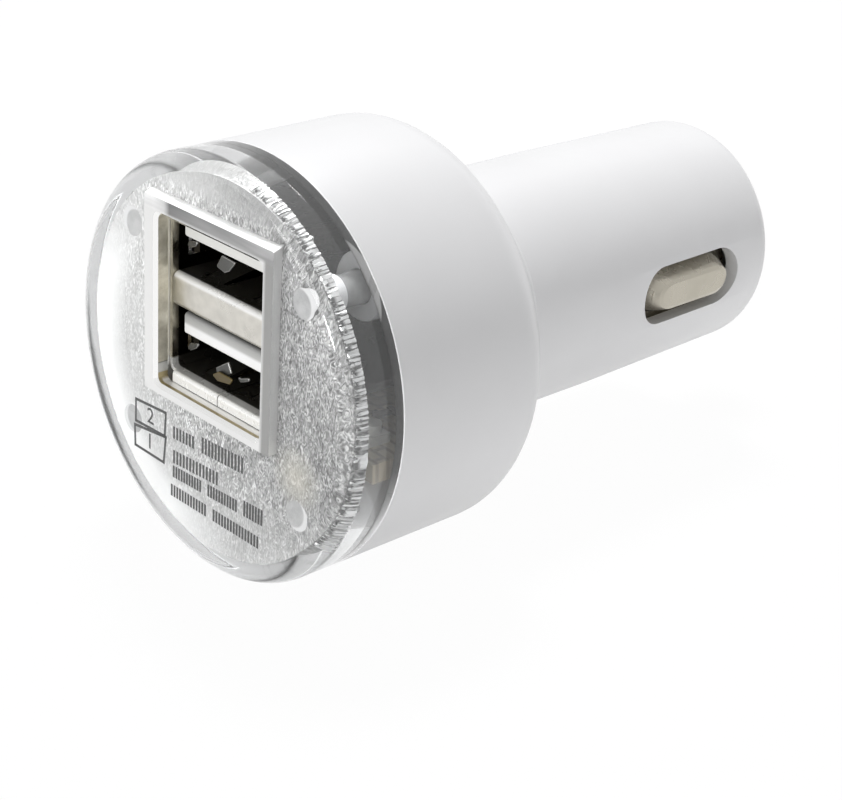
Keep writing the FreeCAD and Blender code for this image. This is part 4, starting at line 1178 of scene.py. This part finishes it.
class CHARGER_OT_port_tabs(Operator):
    """Adds the small bent spring tabs that show in the ports"""

    bl_idname = "charger.port_tabs"
    bl_label = "Port tabs"

    # Each tab: its front, and its corners across the axis, in millimetres
    STEEL = (
        (-22.4, ((-5.6, 7.95), (-5.4, 8.4), (-4.2, 8.66), (-4.5, 8.2), (-5.2, 7.86))),
        (-22.4, ((-2.0, 7.4), (-1.35, 8.5), (0.35, 8.4), (-0.4, 7.5), (-1.0, 7.2))),
        (-22.4, ((-5.5, -0.45), (-5.1, 0.05), (-3.86, 0.4), (-4.36, -0.2), (-5.12, -0.62))),
        (-22.4, ((0.5, -0.5), (1.15, -0.65), (2.6, -0.1), (2.1, -0.6), (1.15, -1.02))),
        (-22.6, ((-1.6, -0.7), (-0.1, 0.3), (0.35, -0.5), (-0.6, -1.4), (-1.5, -1.25))),
    )
    BRASS = (
        (-22.9, ((-1.7, -1.25), (-0.9, -0.7), (0.9, -0.75), (0.5, -1.3), (-1.0, -1.55))),
    )
    THICK = 0.15

    def execute(self, context):
        # The tabs are painted near black, as shade deep in the ports; their sides are less dark.
        self.tabs("port_tabs", self.STEEL, plain("Tab steel", (0.06, 0.06, 0.055), 0.35),
                  nickel("Tab edge", solid(0.30, 0.30, 0.29), 0.3).material, "nickel_plate")
        self.tabs("port_brass_tabs", self.BRASS, plain("Tab brass", (0.10, 0.075, 0.03), 0.35, 0.3),
                  nickel("Brass edge", solid(0.14, 0.11, 0.05), 0.4).material, "gold_contact")
        return {"FINISHED"}

    def tabs(self, name, rows, face, edge, slot):
        made = []
        for n, (front, corners) in enumerate(rows):
            outline = rounded([(x * MM, z * MM, 0.12 * MM) for x, z in corners], 4)
            made.append(pulled(f"tab_{n}", outline, "XZ", self.THICK * MM, front * MM))
            bevel(made[-1], lambda side: flat_at(side, 1, front * MM), 0.07 * MM, 2)
        piece = join(name, made)
        smooth(piece)
        dress(piece, face, "charger", slot)
        line_with(piece, edge, lambda side: side.normal.y > -0.95)


class CHARGER_OT_stage(Operator):
    """Sets the floor, the soft light and the camera"""

    bl_idname = "charger.stage"
    bl_label = "Stage"

    # The soft light all round, and how bright the white surroundings are in reflections and plastic
    SOFT = 0.40
    REFLECTED = 0.8
    # How much of the floor's white is its own when it is looked at, so that it keeps a faint shadow
    GLOW = 0.97
    LAMPS = (
        ("key_lamp", (-0.15, 0.12, 0.45), 0.12, 2.2),
        ("front_lamp", (-0.08, -0.45, 0.08), 0.2, 0.36),
        ("low_lamp", (0.01, -0.40, 0.005), 0.05, 0.52),
    )

    def execute(self, context):
        self.floor()
        self.sky()
        self.lamps()
        self.camera()
        context.scene.view_settings.view_transform = "Standard"
        return {"FINISHED"}

    def floor(self):
        """A pale floor, which isn't there for an eye below it."""
        bpy.ops.object.select_all(action="DESELECT")
        bpy.ops.mesh.primitive_plane_add(size=3.0, location=(0, 0, CAP[0].z - 0.1 * MM))
        floor = bpy.context.object
        floor.name = "floor"
        f = Finish("Pale floor", 0.9, Base_Color=solid(0.9))
        glow = f.node("ShaderNodeEmission").outputs[0]
        above = f.mix_shaders(f.product(f.seen(), self.GLOW), f.shader.outputs[0], glow)
        below = f.node("ShaderNodeNewGeometry").outputs["Backfacing"]
        f.show(f.mix_shaders(below, above, f.node("ShaderNodeBsdfTransparent").outputs[0]))
        floor.data.materials.append(f.material)

    def sky(self):
        world = bpy.data.worlds.new("Soft studio")
        bpy.context.scene.world = world
        world.use_nodes = True
        n = Nodes(world.node_tree)
        soft = n.tree.nodes["Background"]
        n.give(soft.inputs["Color"], solid(1.0))
        n.give(soft.inputs["Strength"], self.SOFT)
        camera = n.node("ShaderNodeLightPath").outputs["Is Camera Ray"]
        bright = n.spread(camera, 0, 1, self.REFLECTED)
        white = n.node("ShaderNodeBackground", Color=solid(1.0), Strength=bright)
        n.give(n.tree.nodes["World Output"].inputs["Surface"],
               n.mix_shaders(n.seen(), soft.outputs[0], white.outputs[0]))

    def lamps(self):
        for name, place, size, power in self.LAMPS:
            bpy.ops.object.light_add(type="AREA", location=place)
            lamp = bpy.context.object
            lamp.name = name
            lamp.data.size = size
            lamp.data.energy = power
            lamp.rotation_euler = (-Vector(place)).to_track_quat("-Z", "Y").to_euler()

    def camera(self):
        bpy.ops.object.camera_add(location=(106.083 * MM, -105.954 * MM, 61.375 * MM))
        camera = bpy.context.object
        camera.rotation_euler = [math.radians(a) for a in (66.4516, -3.1258, 47.0828)]
        camera.data.lens = 83.473
        camera.data.shift_y = -0.0701
        camera.data.clip_start = 1 * MM
        bpy.context.scene.camera = camera


class CHARGER_PT_panel(Panel):
    """Lists the sizes, the colours and the pieces"""

    bl_idname = "CHARGER_PT_panel"
    bl_label = "Car charger"
    bl_space_type = "VIEW_3D"
    bl_region_type = "UI"
    bl_category = "Charger"

    def draw(self, context):
        for group in (context.scene.charger_sizes, context.scene.charger_colours):
            for name in group.__annotations__:
                self.layout.prop(group, name)
        for operator in OPERATORS:
            self.layout.operator(operator.bl_idname)


OPERATORS = (
    CHARGER_OT_housing,
    CHARGER_OT_cap,
    CHARGER_OT_frame,
    CHARGER_OT_plate,
    CHARGER_OT_print,
    CHARGER_OT_side_contacts,
    CHARGER_OT_tip,
    CHARGER_OT_springs,
    CHARGER_OT_inner_parts,
    CHARGER_OT_port_tabs,
    CHARGER_OT_stage,
)
CLASSES = (ChargerSizes, ChargerColours, *OPERATORS, CHARGER_PT_panel)


def register():
    for one in CLASSES:
        bpy.utils.register_class(one)
    bpy.types.Scene.charger_sizes = PointerProperty(type=ChargerSizes)
    bpy.types.Scene.charger_colours = PointerProperty(type=ChargerColours)


def unregister():
    del bpy.types.Scene.charger_colours
    del bpy.types.Scene.charger_sizes
    for one in reversed(CLASSES):
        bpy.utils.unregister_class(one)


def main():
    register()
    for operator in OPERATORS:
        group, name = operator.bl_idname.split(".")
        getattr(getattr(bpy.ops, group), name)()


if __name__ == "__main__":
    main()
